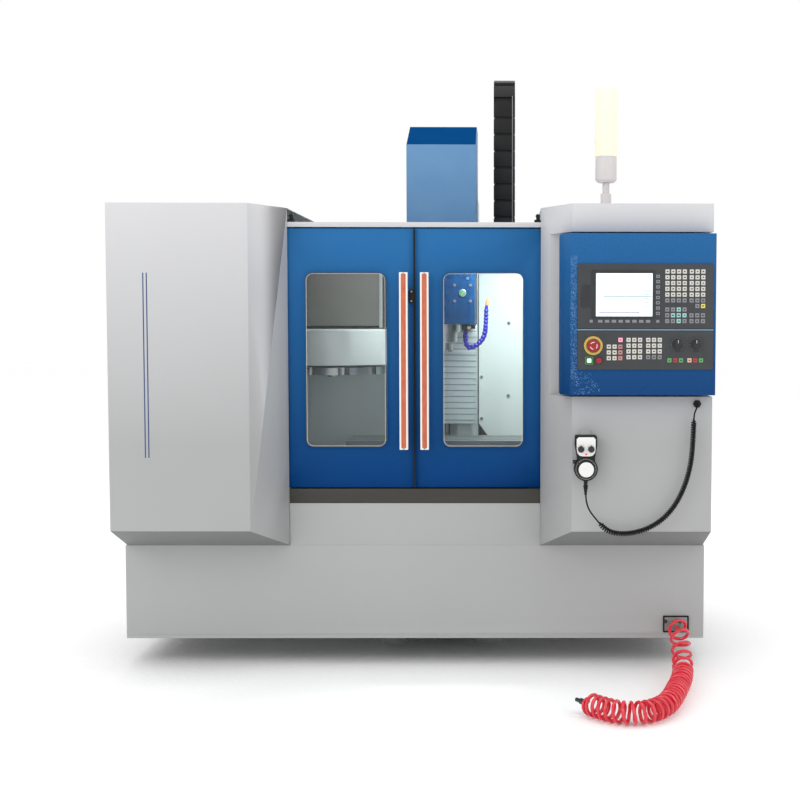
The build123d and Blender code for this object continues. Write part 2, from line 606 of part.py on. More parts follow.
def saddle():
    """Cast saddle: carriage blocks on the bed rails below, rails for the table on top."""
    y0 = SADDLE_Y - SADDLE_LENGTH / 2
    y1 = SADDLE_Y + SADDLE_LENGTH / 2
    x0 = SPINDLE_X - SADDLE_HALF
    x1 = SPINDLE_X + SADDLE_HALF
    body = block(x0, x1, y0, y1, SADDLE_LOW, SADDLE_TOP)
    body = chamfer(body.edges().filter_by(Axis.Y).group_by(Axis.Z)[-1], 14)
    for side in (-1, 1):
        rail_x = SPINDLE_X + side * BED_RAIL_X
        for y in (y0, y1 - BLOCK_LENGTH):
            wrap = block(rail_x - 32, rail_x + 32, y, y + BLOCK_LENGTH, BED_TOP + 5, SADDLE_LOW)
            groove = block(rail_x - RAIL_WIDTH / 2 - GAP, rail_x + RAIL_WIDTH / 2 + GAP, y - 1,
                           y + BLOCK_LENGTH + 1, BED_TOP, SADDLE_LOW)
            body = body + (wrap - groove)
    nut = block(SPINDLE_X - NUT_SIDE, SPINDLE_X + NUT_SIDE, SADDLE_Y - 40, SADDLE_Y + 40, Y_SCREW_Z - 24,
                SADDLE_LOW + 1)
    nut -= rod_y(SCREW_RADIUS + SCREW_CLEARANCE, SPINDLE_X, SADDLE_Y - 41, SADDLE_Y + 41, Y_SCREW_Z)
    post = block(SPINDLE_X - 34, SPINDLE_X + 34, SADDLE_Y - X_CHANNEL_HALF + 6,
                 SADDLE_Y + X_CHANNEL_HALF - 6, SADDLE_TOP - 1, X_SCREW_Z + 17)
    post -= rod_x(X_SCREW_RADIUS + SCREW_CLEARANCE, SPINDLE_X - 35, SPINDLE_X + 35, SADDLE_Y, X_SCREW_Z)
    return body + nut + post


def table_rails():
    rails = []
    for side in (-1, 1):
        y = SADDLE_Y + side * TABLE_RAIL_Y
        rails.append(block(SPINDLE_X - SADDLE_HALF + 16, SPINDLE_X + SADDLE_HALF - 16,
                           y - RAIL_WIDTH / 2, y + RAIL_WIDTH / 2, SADDLE_TOP, SADDLE_TOP + RAIL_DEPTH))
    return Compound(rails)


def tee_slot(y, x0, x1):
    """One T-slot along the table, open at both ends."""
    neck = block(x0, x1, y - SLOT_WIDTH / 2, y + SLOT_WIDTH / 2, TABLE_TOP - SLOT_DEPTH, TABLE_TOP + 1)
    foot = block(x0, x1, y - SLOT_FOOT / 2, y + SLOT_FOOT / 2, TABLE_TOP - SLOT_DEPTH,
                 TABLE_TOP - SLOT_DEPTH + 10)
    return neck + foot


def work_table():
    """Table with three T-slots, a coolant gutter at each end and runner pads on the rails."""
    x0 = SPINDLE_X - TABLE_HALF
    x1 = SPINDLE_X + TABLE_HALF
    y0 = SADDLE_Y - TABLE_WIDTH / 2
    y1 = SADDLE_Y + TABLE_WIDTH / 2
    body = block(x0, x1, y0, y1, TABLE_LOW, TABLE_TOP)
    body = chamfer(body.edges().filter_by(Axis.X).group_by(Axis.Z)[0], 10)
    for k in (-1, 0, 1):
        body -= tee_slot(SADDLE_Y + k * SLOT_SPACING, x0 - 1, x1 + 1)
    channel = block(x0 + 26, x1 - 26, SADDLE_Y - X_CHANNEL_HALF, SADDLE_Y + X_CHANNEL_HALF,
                    TABLE_LOW - 1, TABLE_LOW + X_CHANNEL_DEPTH)
    bore = rod_x(X_SCREW_RADIUS + SCREW_CLEARANCE, x0 - 1, x1 + 1, SADDLE_Y, X_SCREW_Z)
    body = body - channel - bore
    for side in (-1, 1):
        rail_y = SADDLE_Y + side * TABLE_RAIL_Y
        for x in (SPINDLE_X - 140, SPINDLE_X + 140 - BLOCK_LENGTH / 2):
            wrap = block(x, x + BLOCK_LENGTH / 2, rail_y - 26, rail_y + 26, SADDLE_TOP + 5, TABLE_LOW)
            groove = block(x - 1, x + BLOCK_LENGTH / 2 + 1, rail_y - RAIL_WIDTH / 2 - GAP,
                           rail_y + RAIL_WIDTH / 2 + GAP, SADDLE_TOP, TABLE_LOW)
            body = body + (wrap - groove)
    return body


def x_screw():
    return rod_x(X_SCREW_RADIUS, SPINDLE_X - TABLE_HALF, SPINDLE_X + TABLE_HALF + 18, SADDLE_Y,
                 X_SCREW_Z)


def x_servo():
    """Servo on the table's right end, on a ring round the screw's end."""
    x0 = SPINDLE_X + TABLE_HALF
    z = X_SCREW_Z
    body = Pos(x0, SADDLE_Y, z) * Rot(0, 90, 0) * servo_body(36, 70)
    return body - rod_x(X_SCREW_RADIUS + 4, x0 - 1, x0 + 22, SADDLE_Y, z)


# Slatted steel cover that hangs from the head and closes the column's foot as the head moves
SLATS = 7
SLAT_STEP = 54.0
Z_COVER_TOP = HEAD_BOTTOM - GAP
Z_COVER_Y = HEAD_BACK_Y - 22


def z_way_cover():
    """Telescopic slats, each one sitting a little behind the one above."""
    slats = []
    z1 = Z_COVER_TOP
    for k in range(SLATS):
        y0 = Z_COVER_Y + 1.5 * k
        slat = block(SPINDLE_X - HEAD_HALF, SPINDLE_X + HEAD_HALF, y0, y0 + 2.5, z1 - SLAT_STEP, z1)
        slats.append(slat)
        z1 -= SLAT_STEP
    backing = block(SPINDLE_X - HEAD_HALF + 12, SPINDLE_X + HEAD_HALF - 12, Z_COVER_Y + 2,
                    Z_COVER_Y + 2 + 1.5 * SLATS, Z_COVER_TOP - SLATS * SLAT_STEP, Z_COVER_TOP)
    return backing + slats


# Tool magazine: fixed housing and hat, a carriage on rails and a ten-station disc
RAIL_LOW_Z = HAT_HIGH_Z + 34
HOUSING_TOP = 1330.0
HOUSING_X0 = -590.0
HOUSING_X1 = -140.0
HOUSING_Y0 = -100.0
HUB_RADIUS = 24.0


def magazine_housing():
    """Folded box carried by the rear wall; open below, where the carriage runs."""
    outer = block(HOUSING_X0, HOUSING_X1, HOUSING_Y0, WALL_Y, HAT_HIGH_Z + 4, HOUSING_TOP)
    inner = block(HOUSING_X0 + SHEET, HOUSING_X1 + 1, HOUSING_Y0 + SHEET, WALL_Y - SHEET,
                  HAT_HIGH_Z + 3, HOUSING_TOP - SHEET)
    rails = [block(HOUSING_X0 + SHEET, HOUSING_X1, y, y + 16, RAIL_LOW_Z, HOUSING_TOP - SHEET)
             for y in (SPINDLE_Y - 40, SPINDLE_Y + 24)]
    end = block(HOUSING_X1 - SHEET, HOUSING_X1, HOUSING_Y0, WALL_Y, RAIL_LOW_Z + 30, HOUSING_TOP)
    return outer - inner + rails + end


def magazine_hat():
    """Round cover over the disc with a straight back that seats on the rear wall."""
    x, y = MAGAZINE_X, SPINDLE_Y
    drum = rod_z(HAT_RADIUS, x, y, HAT_LOW_Z, HAT_HIGH_Z)
    drum = chamfer(drum.edges().group_by(Axis.Z)[-1], 6)
    drum -= rod_z(HAT_RADIUS - SHEET, x, y, HAT_LOW_Z - 1, HAT_HIGH_Z - SHEET)
    slot = block(x - HUB_RADIUS - 8, x + HAT_RADIUS + 1, y - HUB_RADIUS - 8, y + HUB_RADIUS + 8,
                 HAT_LOW_Z - 1, HAT_HIGH_Z + 1)
    posts = [block(x + px - 10, x + px + 10, WALL_Y - 60, WALL_Y - 30, HAT_HIGH_Z - SHEET / 2, HAT_HIGH_Z + 40)
             for px in (-60, 60)]
    arms = [block(x + px - 10, x + px + 10, WALL_Y - 60, WALL_Y - SHEET, HAT_HIGH_Z + 26, HAT_HIGH_Z + 40)
            for px in (-60, 60)]
    back = block(x - HAT_RADIUS, x + HAT_RADIUS, WALL_Y - 12, WALL_Y + 20, HAT_LOW_Z - 1, HAT_HIGH_Z + 1)
    return drum - slot - back + posts + arms


def magazine_carriage():
    x, y = MAGAZINE_X, SPINDLE_Y
    plate = block(x - 80, x + 60, y - 58, y + 58, RAIL_LOW_Z - 22, RAIL_LOW_Z - GAP)
    lips = [block(x - 80, x + 60, y + s * (49 + GAP) - 9, y + s * (49 + GAP) + 9, RAIL_LOW_Z - 22,
                  RAIL_LOW_Z + 20) for s in (-1, 1)]
    post = rod_z(HUB_RADIUS - 6, x, y, DISC_Z + DISC_THICK + 10, RAIL_LOW_Z - 21)
    post += rod_z(10, x, y, DISC_Z - 12, DISC_Z + DISC_THICK + 10)
    return plate + lips + post


POCKET_RADIUS = 22.0
POCKET_MOUTH = 17.0


def tool_disc():
    """Disc with ten open pockets round its rim, turning on the carriage's post."""
    disc = rod_z(DISC_RADIUS, MAGAZINE_X, SPINDLE_Y, DISC_Z, DISC_Z + DISC_THICK)
    disc -= rod_z(10 + SHAFT_CLEARANCE, MAGAZINE_X, SPINDLE_Y, DISC_Z - 1, DISC_Z + DISC_THICK + 1)
    for k in range(STATIONS):
        angle = 2 * pi * k / STATIONS
        reach = DISC_RADIUS - 10
        centre = Pos(MAGAZINE_X + reach * cos(angle), SPINDLE_Y + reach * sin(angle), DISC_Z + DISC_THICK / 2)
        mouth = Pos(MAGAZINE_X, SPINDLE_Y, DISC_Z + DISC_THICK / 2) * Rot(0, 0, degrees(angle))
        disc -= centre * Cylinder(POCKET_RADIUS, DISC_THICK + 2)
        disc -= mouth * Pos(reach + 20, 0, 0) * Box(40, 2 * POCKET_MOUTH, DISC_THICK + 2)
    return disc


def disc_nut():
    """Retaining collar under the disc, on the carriage's post."""
    collar = rod_z(22, MAGAZINE_X, SPINDLE_Y, DISC_Z - 12, DISC_Z - GAP)
    return collar - rod_z(10, MAGAZINE_X, SPINDLE_Y, DISC_Z - 13, DISC_Z)


# Cable chain: a standing loop beside the head, one end on the head and one on the column
CHAIN_X = 292.0
CHAIN_WIDTH = 78.0
CHAIN_FRONT_Y = 70.0
CHAIN_REAR_Y = 250.0
CHAIN_TOP = 2030.0
CHAIN_THICK = 40.0
CHAIN_LOW = 1460.0
LINK_PITCH = 58.0
LINK_LENGTH = 52.0
CHAIN_RADIUS = (CHAIN_REAR_Y - CHAIN_FRONT_Y) / 2


def chain_links():
    """Links along a straight run, a half turn and a second straight run."""
    bend_z = CHAIN_TOP - CHAIN_RADIUS - CHAIN_THICK / 2
    run = bend_z - CHAIN_LOW
    total = 2 * run + pi * CHAIN_RADIUS
    count = int(total / LINK_PITCH)
    mid_y = (CHAIN_FRONT_Y + CHAIN_REAR_Y) / 2
    links = []
    for k in range(count):
        s = (k + 0.5) * total / count
        if s < run:
            y, z, turn = CHAIN_FRONT_Y, CHAIN_LOW + s, 0
        elif s < run + pi * CHAIN_RADIUS:
            turn = (s - run) / CHAIN_RADIUS
            y, z = mid_y - CHAIN_RADIUS * cos(turn), bend_z + CHAIN_RADIUS * sin(turn)
        else:
            y, z, turn = CHAIN_REAR_Y, bend_z - (s - run - pi * CHAIN_RADIUS), pi
        place = Pos(CHAIN_X, y, z) * Rot(-degrees(turn), 0, 0)
        links.append(place * Box(CHAIN_WIDTH, CHAIN_THICK, LINK_LENGTH))
    return links


def cable_chain():
    """The links as one band with a waist between each pair."""
    bend_z = CHAIN_TOP - CHAIN_RADIUS - CHAIN_THICK / 2
    mid_y = (CHAIN_FRONT_Y + CHAIN_REAR_Y) / 2
    half = CHAIN_THICK / 2 - 6
    x0 = CHAIN_X - CHAIN_WIDTH / 2 + 6
    x1 = CHAIN_X + CHAIN_WIDTH / 2 - 6
    ring = rod_x(CHAIN_RADIUS + half, x0, x1, mid_y, bend_z) - rod_x(CHAIN_RADIUS - half, x0 - 1, x1 + 1,
                                                                     mid_y, bend_z)
    ring -= block(x0 - 2, x1 + 2, mid_y - 200, mid_y + 200, bend_z - 200, bend_z)
    legs = [block(x0, x1, y - half, y + half, CHAIN_LOW, bend_z) for y in (CHAIN_FRONT_Y, CHAIN_REAR_Y)]
    return ring + legs + chain_links()


def head_chain_bracket():
    """Angle arm from the head cover's side to the chain's moving end."""
    x0 = SPINDLE_X + COVER_HALF
    z1 = CHAIN_LOW
    arm = block(x0, CHAIN_X + CHAIN_WIDTH / 2, CHAIN_FRONT_Y - 30, CHAIN_FRONT_Y + 30, z1 - 6, z1)
    web = block(x0, x0 + 6, CHAIN_FRONT_Y - 30, CHAIN_FRONT_Y + 30, z1 - 70, z1 - 6)
    return arm + web


def column_chain_bracket():
    x0 = SPINDLE_X + COLUMN_HALF
    z1 = CHAIN_LOW
    arm = block(x0, CHAIN_X + CHAIN_WIDTH / 2, CHAIN_REAR_Y - 25, CHAIN_REAR_Y + 45, z1 - 6, z1)
    web = block(x0, x0 + 6, CHAIN_REAR_Y - 5, CHAIN_REAR_Y + 45, z1 - 80, z1 - 6)
    return arm + web


# Coolant pipe: valve block under the head and a segmented hose that ends in a nozzle
COOLANT_START = (SPINDLE_X + 84.0, SPINDLE_Y - 50.0, HEAD_BOTTOM)
COOLANT_PATH = [(0, 0, 0), (-2, -6, -38), (10, -10, -62), (40, -10, -54), (66, -8, -24), (73, -6, 30),
                (74, -6, 80)]
COOLANT_RADIUS = 7.0
BEAD_LENGTH = 25.0


def coolant_pipe():
    """Segmented hose: ball-jointed beads along a short curve."""
    sx, sy, sz = COOLANT_START
    points = [Vector(sx + x, sy + y, sz + z - 22) for x, y, z in COOLANT_PATH]
    line = Spline(*points)
    beads = []
    count = 17
    for k in range(count):
        place = line.location_at(k / (count - 1))
        beads.append(place * Cone(COOLANT_RADIUS, COOLANT_RADIUS * 0.7, BEAD_LENGTH))
    tip = line.location_at(1.0) * Pos(0, 0, BEAD_LENGTH) * Cone(COOLANT_RADIUS, 3, BEAD_LENGTH + 4)
    return Part() + beads + [tip]


def coolant_valve():
    x, y, z = COOLANT_START
    body = block(x - 14, x + 14, y - 14, y + 14, z - 22, z)
    return body + rod_x(5, x + 14, x + 34, y, z - 11)


# Signal lamp on the right cabinet's roof
LAMP_X = 618.0
LAMP_Y = -600.0
LAMP_RADIUS = 35.0
LAMP_POLE_TOP = 1582.0
LAMP_BASE_TOP = 1664.0
LAMP_TOP = 1882.0


def lamp_pole():
    pole = rod_z(11, LAMP_X, LAMP_Y, CABINET_TOP, LAMP_POLE_TOP)
    socket = rod_z(17, LAMP_X, LAMP_Y, CABINET_TOP, CABINET_TOP + 38)
    flange = rod_z(30, LAMP_X, LAMP_Y, CABINET_TOP, CABINET_TOP + 5)
    return pole + socket + flange


def lamp_base():
    cup = rod_z(LAMP_RADIUS - 1, LAMP_X, LAMP_Y, LAMP_POLE_TOP, LAMP_BASE_TOP)
    return chamfer(cup.edges().group_by(Axis.Z)[0], 8)


def lamp_lens():
    lens = rod_z(LAMP_RADIUS, LAMP_X, LAMP_Y, LAMP_BASE_TOP, LAMP_TOP)
    lens = fillet(lens.edges().group_by(Axis.Z)[-1], 8)
    hollow = rod_z(LAMP_RADIUS - 3, LAMP_X, LAMP_Y, LAMP_BASE_TOP - 1, LAMP_TOP - 4)
    return lens - hollow


# Air inlet in the base and its spiral hose
FITTING_RADIUS = 10.0
HOSE_RADIUS = 35.0
HOSE_EXIT = (PORT_X, BASE_FRONT_Y - 34.0, PORT_Z)
HOSE_ROUTE = [HOSE_EXIT, (PORT_X, -594, PORT_Z), (868, -645, 68), (862, -720, 36), (848, -806, 36),
              (828, -890, 36), (806, -972, 36), (784, -1052, 36), (752, -1124, 36), (704, -1176, 36),
              (640, -1188, 36), (582, -1144, 36), (533, -1080, 36)]


def air_port():
    """Plate over the cut-out, with a threaded inlet and a second plugged one."""
    y = BASE_FRONT_Y
    plate = block(PORT_X - PORT_HALF_X, PORT_X + PORT_HALF_X, y - 3, y, PORT_Z - PORT_HALF_Z,
                  PORT_Z + PORT_HALF_Z)
    return plate - rod_y(FITTING_RADIUS - 3, PORT_X, y - 4, y + 1, PORT_Z)


def air_fitting():
    """Push-in fitting: hexagon nut, body and release collar, through the plate's hole."""
    y = BASE_FRONT_Y - 3
    nut = Pos(PORT_X, y, PORT_Z) * Rot(90, 0, 0) * extrude(RegularPolygon(12, 6), 10)
    body = rod_y(FITTING_RADIUS, PORT_X, y - 10, HOSE_EXIT[1], PORT_Z)
    stem = rod_y(FITTING_RADIUS - 3, PORT_X, y, y + 24, PORT_Z)
    return nut + body + stem


def corner_radii(points):
    """Arc radius at each inner point: 0.45 of the shorter run over the tangent of half the turn."""
    radii = []
    for a, b, c in zip(points, points[1:], points[2:]):
        before = Vector(*b) - Vector(*a)
        after = Vector(*c) - Vector(*b)
        half_turn = radians(before.get_angle(after)) / 2
        radii.append(0.45 * min(before.length, after.length) / tan(half_turn))
    return radii


def cord_tube(label, points, radius):
    """A round tube along straight runs joined by tangent arcs."""
    radii = corner_radii(points)
    path = FilletPolyline(*points, radius=radii)
    start = Plane(origin=path @ 0, z_dir=path % 0)
    tube = sweep(start * Circle(radius), path=path)
    print(label, "radii", [round(r) for r in radii], "length", round(path.length),
          "volume ratio", round(tube.volume / (pi * radius ** 2 * path.length), 4))
    return tube


def air_hose():
    return cord_tube("air_hose", HOSE_ROUTE, HOSE_RADIUS)


def hose_end():
    """Plug on the hose's far end, in line with its last run."""
    a = Vector(*HOSE_ROUTE[-2])
    b = Vector(*HOSE_ROUTE[-1])
    place = Location(Plane(origin=b, z_dir=b - a))
    plug = place * Cylinder(9, 22, align=(Align.CENTER, Align.CENTER, Align.MIN))
    return plug + place * Pos(0, 0, 22) * Cylinder(6, 20, align=(Align.CENTER, Align.CENTER, Align.MIN))


# Control box: a swinging shell with two panels, its controls and a back plate
BOX_SHEET = 3.0
HINGE_X = BOX_RIGHT - 8
HINGE_Y = NICHE_BACK_Y - 14


def control_box():
    outline = [(BOX_LEFT, BOX_BACK_Y), (BOX_LEFT, BOX_FRONT_Y + 2 * BOX_BEVEL),
               (BOX_LEFT + BOX_BEVEL, BOX_FRONT_Y), (BOX_RIGHT, BOX_FRONT_Y), (BOX_RIGHT, BOX_BACK_Y)]
    t = BOX_SHEET
    inside = [(BOX_LEFT + t, BOX_BACK_Y + 1), (BOX_LEFT + t, BOX_FRONT_Y + 2 * BOX_BEVEL + t / 2),
              (BOX_LEFT + BOX_BEVEL + t / 2, BOX_FRONT_Y + t), (BOX_RIGHT - t, BOX_FRONT_Y + t),
              (BOX_RIGHT - t, BOX_BACK_Y + 1)]
    shell = prism_z(outline, BOX_LOW_Z, BOX_HIGH_Z)
    return shell - prism_z(inside, BOX_LOW_Z + t, BOX_HIGH_Z - t)


def control_box_back():
    """Back plate, with the moving leaf of the hinge along its right edge."""
    plate = block(BOX_LEFT, BOX_RIGHT, BOX_BACK_Y, BOX_BACK_Y + BOX_SHEET, BOX_LOW_Z, BOX_HIGH_Z)
    knuckles = []
    for z in (BOX_LOW_Z + 60, BOX_HIGH_Z - 130):
        leaf = block(HINGE_X - 3, HINGE_X + 3, BOX_BACK_Y, HINGE_Y, z, z + 34)
        barrel = rod_z(8, HINGE_X, HINGE_Y, z, z + 34)
        knuckles.append(leaf + barrel - rod_z(4 + SHAFT_CLEARANCE, HINGE_X, HINGE_Y, z - 1, z + 35))
    return plate + knuckles


def box_hinge():
    """Fixed leaves and pins on the niche's back wall."""
    parts = []
    for z in (BOX_LOW_Z + 60, BOX_HIGH_Z - 130):
        pin = rod_z(4, HINGE_X, HINGE_Y, z - 1, z + 70)
        barrel = rod_z(8, HINGE_X, HINGE_Y, z + 35, z + 69)
        leaf = block(HINGE_X - 30, HINGE_X + 4, NICHE_BACK_Y - 4, NICHE_BACK_Y, z, z + 69)
        bridge = block(HINGE_X - 3, HINGE_X + 3, HINGE_Y, NICHE_BACK_Y - 4, z + 35, z + 69)
        parts.append(pin + barrel + leaf + bridge)
    return parts


SCREEN = (PANEL_LEFT + 56.0, PANEL_LEFT + 232.0, UPPER_HIGH_Z - 162.0, UPPER_HIGH_Z - 28.0)
STOP_POS = (PANEL_LEFT + 49.0, LOWER_HIGH_Z - 46.0)
START_POS = (PANEL_LEFT + 36.0, LOWER_HIGH_Z - 92.0)
HALT_POS = (PANEL_LEFT + 66.0, LOWER_HIGH_Z - 92.0)
SPEED_POS = (PANEL_LEFT + 310.0, LOWER_HIGH_Z - 42.0)
FEED_POS = (PANEL_LEFT + 367.0, LOWER_HIGH_Z - 42.0)
STOP_COLLAR = 29.0
BUTTON_RADIUS = 9.0
KEY_SIZE = 13.0
KEY_STEP = 17.8
KEY_PROUD = 1.6


def upper_panel():
    x0, x1, z0, z1 = SCREEN
    plate = block(PANEL_LEFT, PANEL_RIGHT, PANEL_Y, BOX_FRONT_Y, UPPER_LOW_Z, UPPER_HIGH_Z)
    plate = fillet(plate.edges().filter_by(Axis.Y), 5)
    return plate - block(x0 - 1, x1 + 1, PANEL_Y - 1, PANEL_Y + 3, z0 - 1, z1 + 1)


def screen():
    x0, x1, z0, z1 = SCREEN
    return block(x0, x1, PANEL_Y + 0.8, PANEL_Y + 3, z0, z1)


def lower_panel():
    plate = block(PANEL_LEFT, PANEL_RIGHT, PANEL_Y, BOX_FRONT_Y, LOWER_LOW_Z, LOWER_HIGH_Z)
    plate = fillet(plate.edges().filter_by(Axis.Y), 5)
    for (x, z), r in ((STOP_POS, 11), (START_POS, 7), (HALT_POS, 7), (SPEED_POS, 5), (FEED_POS, 5)):
        plate -= rod_y(r, x, PANEL_Y - 1, BOX_FRONT_Y + 1, z)
    return plate


def key_block(corner, columns, rows):
    """Rows of keys standing a little proud of a panel; the corner is the top left key's middle."""
    half = KEY_SIZE / 2
    keys = []
    for i in range(columns):
        for j in range(rows):
            x = corner[0] + i * KEY_STEP
            z = corner[1] - j * KEY_STEP
            keys.append(block(x - half, x + half, PANEL_Y - KEY_PROUD, PANEL_Y, z - half, z + half))
    return keys


# Each block of keys: its top left key from the panel's top left corner, its columns and its rows
UPPER_BLOCKS = [(277.0, 23.0, 4, 6), (352.0, 23.0, 3, 6), (277.0, 140.0, 4, 3), (352.0, 158.0, 3, 2),
                (370.0, 129.0, 2, 1)]
LOWER_BLOCKS = [(97.0, 49.0, 3, 3), (133.0, 28.0, 1, 1), (158.0, 28.0, 3, 4), (219.0, 28.0, 3, 4),
                (285.0, 91.0, 3, 1), (347.0, 91.0, 3, 1)]
SOFT_KEYS = 8
SOFT_KEY_MARGIN = 14.0
SOFT_KEY_HALF = 7.0


def panel_keys(blocks, top):
    keys = []
    for right, down, columns, rows in blocks:
        keys += key_block((PANEL_LEFT + right, top - down), columns, rows)
    return keys


def soft_keys():
    """A row of keys under the screen and a column beside it."""
    keys = []
    x0, x1, z0, z1 = SCREEN
    y0 = PANEL_Y - KEY_PROUD
    for k in range(SOFT_KEYS):
        share = k / (SOFT_KEYS - 1)
        x = x0 + SOFT_KEY_MARGIN + share * (x1 - x0 - 2 * SOFT_KEY_MARGIN)
        z = z1 - SOFT_KEY_MARGIN + 4 - share * (z1 - z0 - 2 * SOFT_KEY_MARGIN + 8)
        keys.append(block(x - SOFT_KEY_HALF, x + SOFT_KEY_HALF, y0, PANEL_Y, z0 - 19, z0 - 10))
        keys.append(block(x1 + 10, x1 + 22, y0, PANEL_Y, z - 5, z + 5))
    return keys


def upper_keys():
    return panel_keys(UPPER_BLOCKS, UPPER_HIGH_Z) + soft_keys()


def lower_keys():
    return panel_keys(LOWER_BLOCKS, LOWER_HIGH_Z)


def stop_collar():
    x, z = STOP_POS
    ring = rod_y(STOP_COLLAR, x, PANEL_Y - 2, PANEL_Y, z)
    neck = rod_y(16, x, PANEL_Y - 6, PANEL_Y - 2, z)
    return ring + neck - rod_y(9 + SHAFT_CLEARANCE, x, PANEL_Y - 7, PANEL_Y + 1, z)


def stop_button():
    x, z = STOP_POS
    stem = rod_y(9, x, PANEL_Y - 14, BOX_FRONT_Y - STOP_TRAVEL - GAP, z)
    head = rod_y(19, x, PANEL_Y - 19, PANEL_Y - 6 - STOP_TRAVEL - GAP, z)
    return fillet(head.edges().group_by(Axis.Y)[0], 3) + stem


def push_button(place):
    x, z = place
    cap = rod_y(BUTTON_RADIUS, x, PANEL_Y - BUTTON_TRAVEL - 4, PANEL_Y - BUTTON_TRAVEL - GAP, z)
    return cap + rod_y(6.9, x, PANEL_Y - BUTTON_TRAVEL - 1, BOX_FRONT_Y - BUTTON_TRAVEL, z)


def override_knob(place):
    """Fluted rotary switch with a pointer nose."""
    x, z = place
    skirt = rod_y(15, x, PANEL_Y - 4, PANEL_Y - GAP, z)
    grip = rod_y(11, x, PANEL_Y - 17, PANEL_Y - 4, z)
    for k in range(12):
        angle = 2 * pi * k / 12
        grip -= rod_y(1.4, x + 11.4 * cos(angle), PANEL_Y - 18, PANEL_Y - 5, z + 11.4 * sin(angle))
    nose = block(x - 1.2, x + 1.2, PANEL_Y - 18, PANEL_Y - 4, z + 6, z + 14)
    return skirt + grip + nose + rod_y(4.9, x, PANEL_Y - 1, BOX_FRONT_Y, z)


# Handheld pendant on its hook, and its curly lead
PENDANT_X = 550.0
PENDANT_LOW = 643.0
PENDANT_HIGH = 786.0
PENDANT_FRONT = FRONT_Y - 52
PENDANT_BACK = FRONT_Y - 16
PENDANT_HALF = 34.0
PENDANT_WAIST = 28.0
PENDANT_ROUND = 37.0
LEAD_TOP = 625.0
ENABLE_Z = 702.0
DIAL_POS = (PENDANT_X, 680.0)
SELECTORS = ((534.0, 743.0), (566.0, 743.0))


def pendant():
    """Handheld unit: waisted moulded case with a raised ring round the dial."""
    x = PENDANT_X
    half = PENDANT_HALF
    waist = PENDANT_WAIST
    dial_x, dial_z = DIAL_POS
    outline = [(x - half, PENDANT_HIGH), (x - half - 1, PENDANT_HIGH - 30), (x - waist, dial_z + 36),
               (x - waist, dial_z), (x + waist, dial_z), (x + waist, dial_z + 36),
               (x + half + 1, PENDANT_HIGH - 30), (x + half, PENDANT_HIGH)]
    case = prism_y(outline, PENDANT_FRONT, PENDANT_BACK)
    case = fillet(case.edges().filter_by(Axis.Y), 6)
    case += rod_y(PENDANT_ROUND, dial_x, PENDANT_FRONT, PENDANT_BACK, dial_z)
    case -= rod_y(5 + SHAFT_CLEARANCE, dial_x, PENDANT_FRONT - 1, PENDANT_FRONT + 14, dial_z)
    for sx, sz in SELECTORS:
        case -= rod_y(4 + SHAFT_CLEARANCE, sx, PENDANT_FRONT - 1, PENDANT_FRONT + 10, sz)
    case -= rod_x(6 + SHAFT_CLEARANCE, x - 40, x - 19, (PENDANT_FRONT + PENDANT_BACK) / 2, ENABLE_Z)
    gland = Pos(x, CORD_Y, LEAD_TOP) * Cone(5, 8, 30, align=(Align.CENTER, Align.CENTER, Align.MIN))
    return case + gland


def pendant_dial():
    x, z = DIAL_POS
    dial = rod_y(27, x, PENDANT_FRONT - 8, PENDANT_FRONT - GAP, z)
    dial = chamfer(dial.edges().group_by(Axis.Y)[0], 2)
    crank = rod_y(4, x + 16, PENDANT_FRONT - 14, PENDANT_FRONT - 8, z + 8)
    return dial + crank + rod_y(5, x, PENDANT_FRONT - 1, PENDANT_FRONT + 12, z)


def selector_knob(place):
    x, z = place
    knob = rod_y(10, x, PENDANT_FRONT - 10, PENDANT_FRONT - GAP, z)
    nose = block(x - 1.5, x + 1.5, PENDANT_FRONT - 11, PENDANT_FRONT - 4, z + 4, z + 12)
    return knob + nose + rod_y(4, x, PENDANT_FRONT - 1, PENDANT_FRONT + 8, z)


def enable_button():
    mid = (PENDANT_FRONT + PENDANT_BACK) / 2
    return rod_x(6, PENDANT_X - 41, PENDANT_X - 25, mid, ENABLE_Z)


def pendant_hook():
    """Bent strip on the cabinet that the pendant's back clip hangs on."""
    x = PENDANT_X
    strip = block(x - 15, x + 15, FRONT_Y - 4, FRONT_Y, 700, 800)
    return strip + block(x - 15, x + 15, PENDANT_BACK, FRONT_Y - 3, 716, 760)


GLAND = (902.0, FRONT_Y, 882.0)
CORD_Y = FRONT_Y - 34
CORD_RADIUS = 3.0
CURL_RADIUS = 9.0
LEAD_ROUTE = [(PENDANT_X, CORD_Y, LEAD_TOP), (PENDANT_X, CORD_Y, 598), (553, CORD_Y, 572),
              (562, CORD_Y, 548), (576, CORD_Y, 529), (592, CORD_Y, 510)]
CURL_ROUTE = [(592, CORD_Y, 510), (612, CORD_Y, 486.25), (650, CORD_Y, 474), (698, CORD_Y, 476),
              (748, CORD_Y, 491), (796, CORD_Y, 522), (833, CORD_Y, 567), (860, CORD_Y, 622),
              (877, CORD_Y, 682), (885, CORD_Y, 744), (887, CORD_Y, 806)]
TAIL_ROUTE = [(887, CORD_Y, 806), (888, CORD_Y, 837), (896, CORD_Y + 3, 862),
              (902, CORD_Y + 10, 882), (902, FRONT_Y - 14, 882)]


def cord_gland():
    """Gland where the pendant's lead goes into the right cabinet."""
    x, y, z = GLAND
    nut = Pos(x, y, z) * Rot(90, 0, 0) * extrude(RegularPolygon(13, 6), 6)
    return nut + rod_y(8, x, y - 14, y, z)


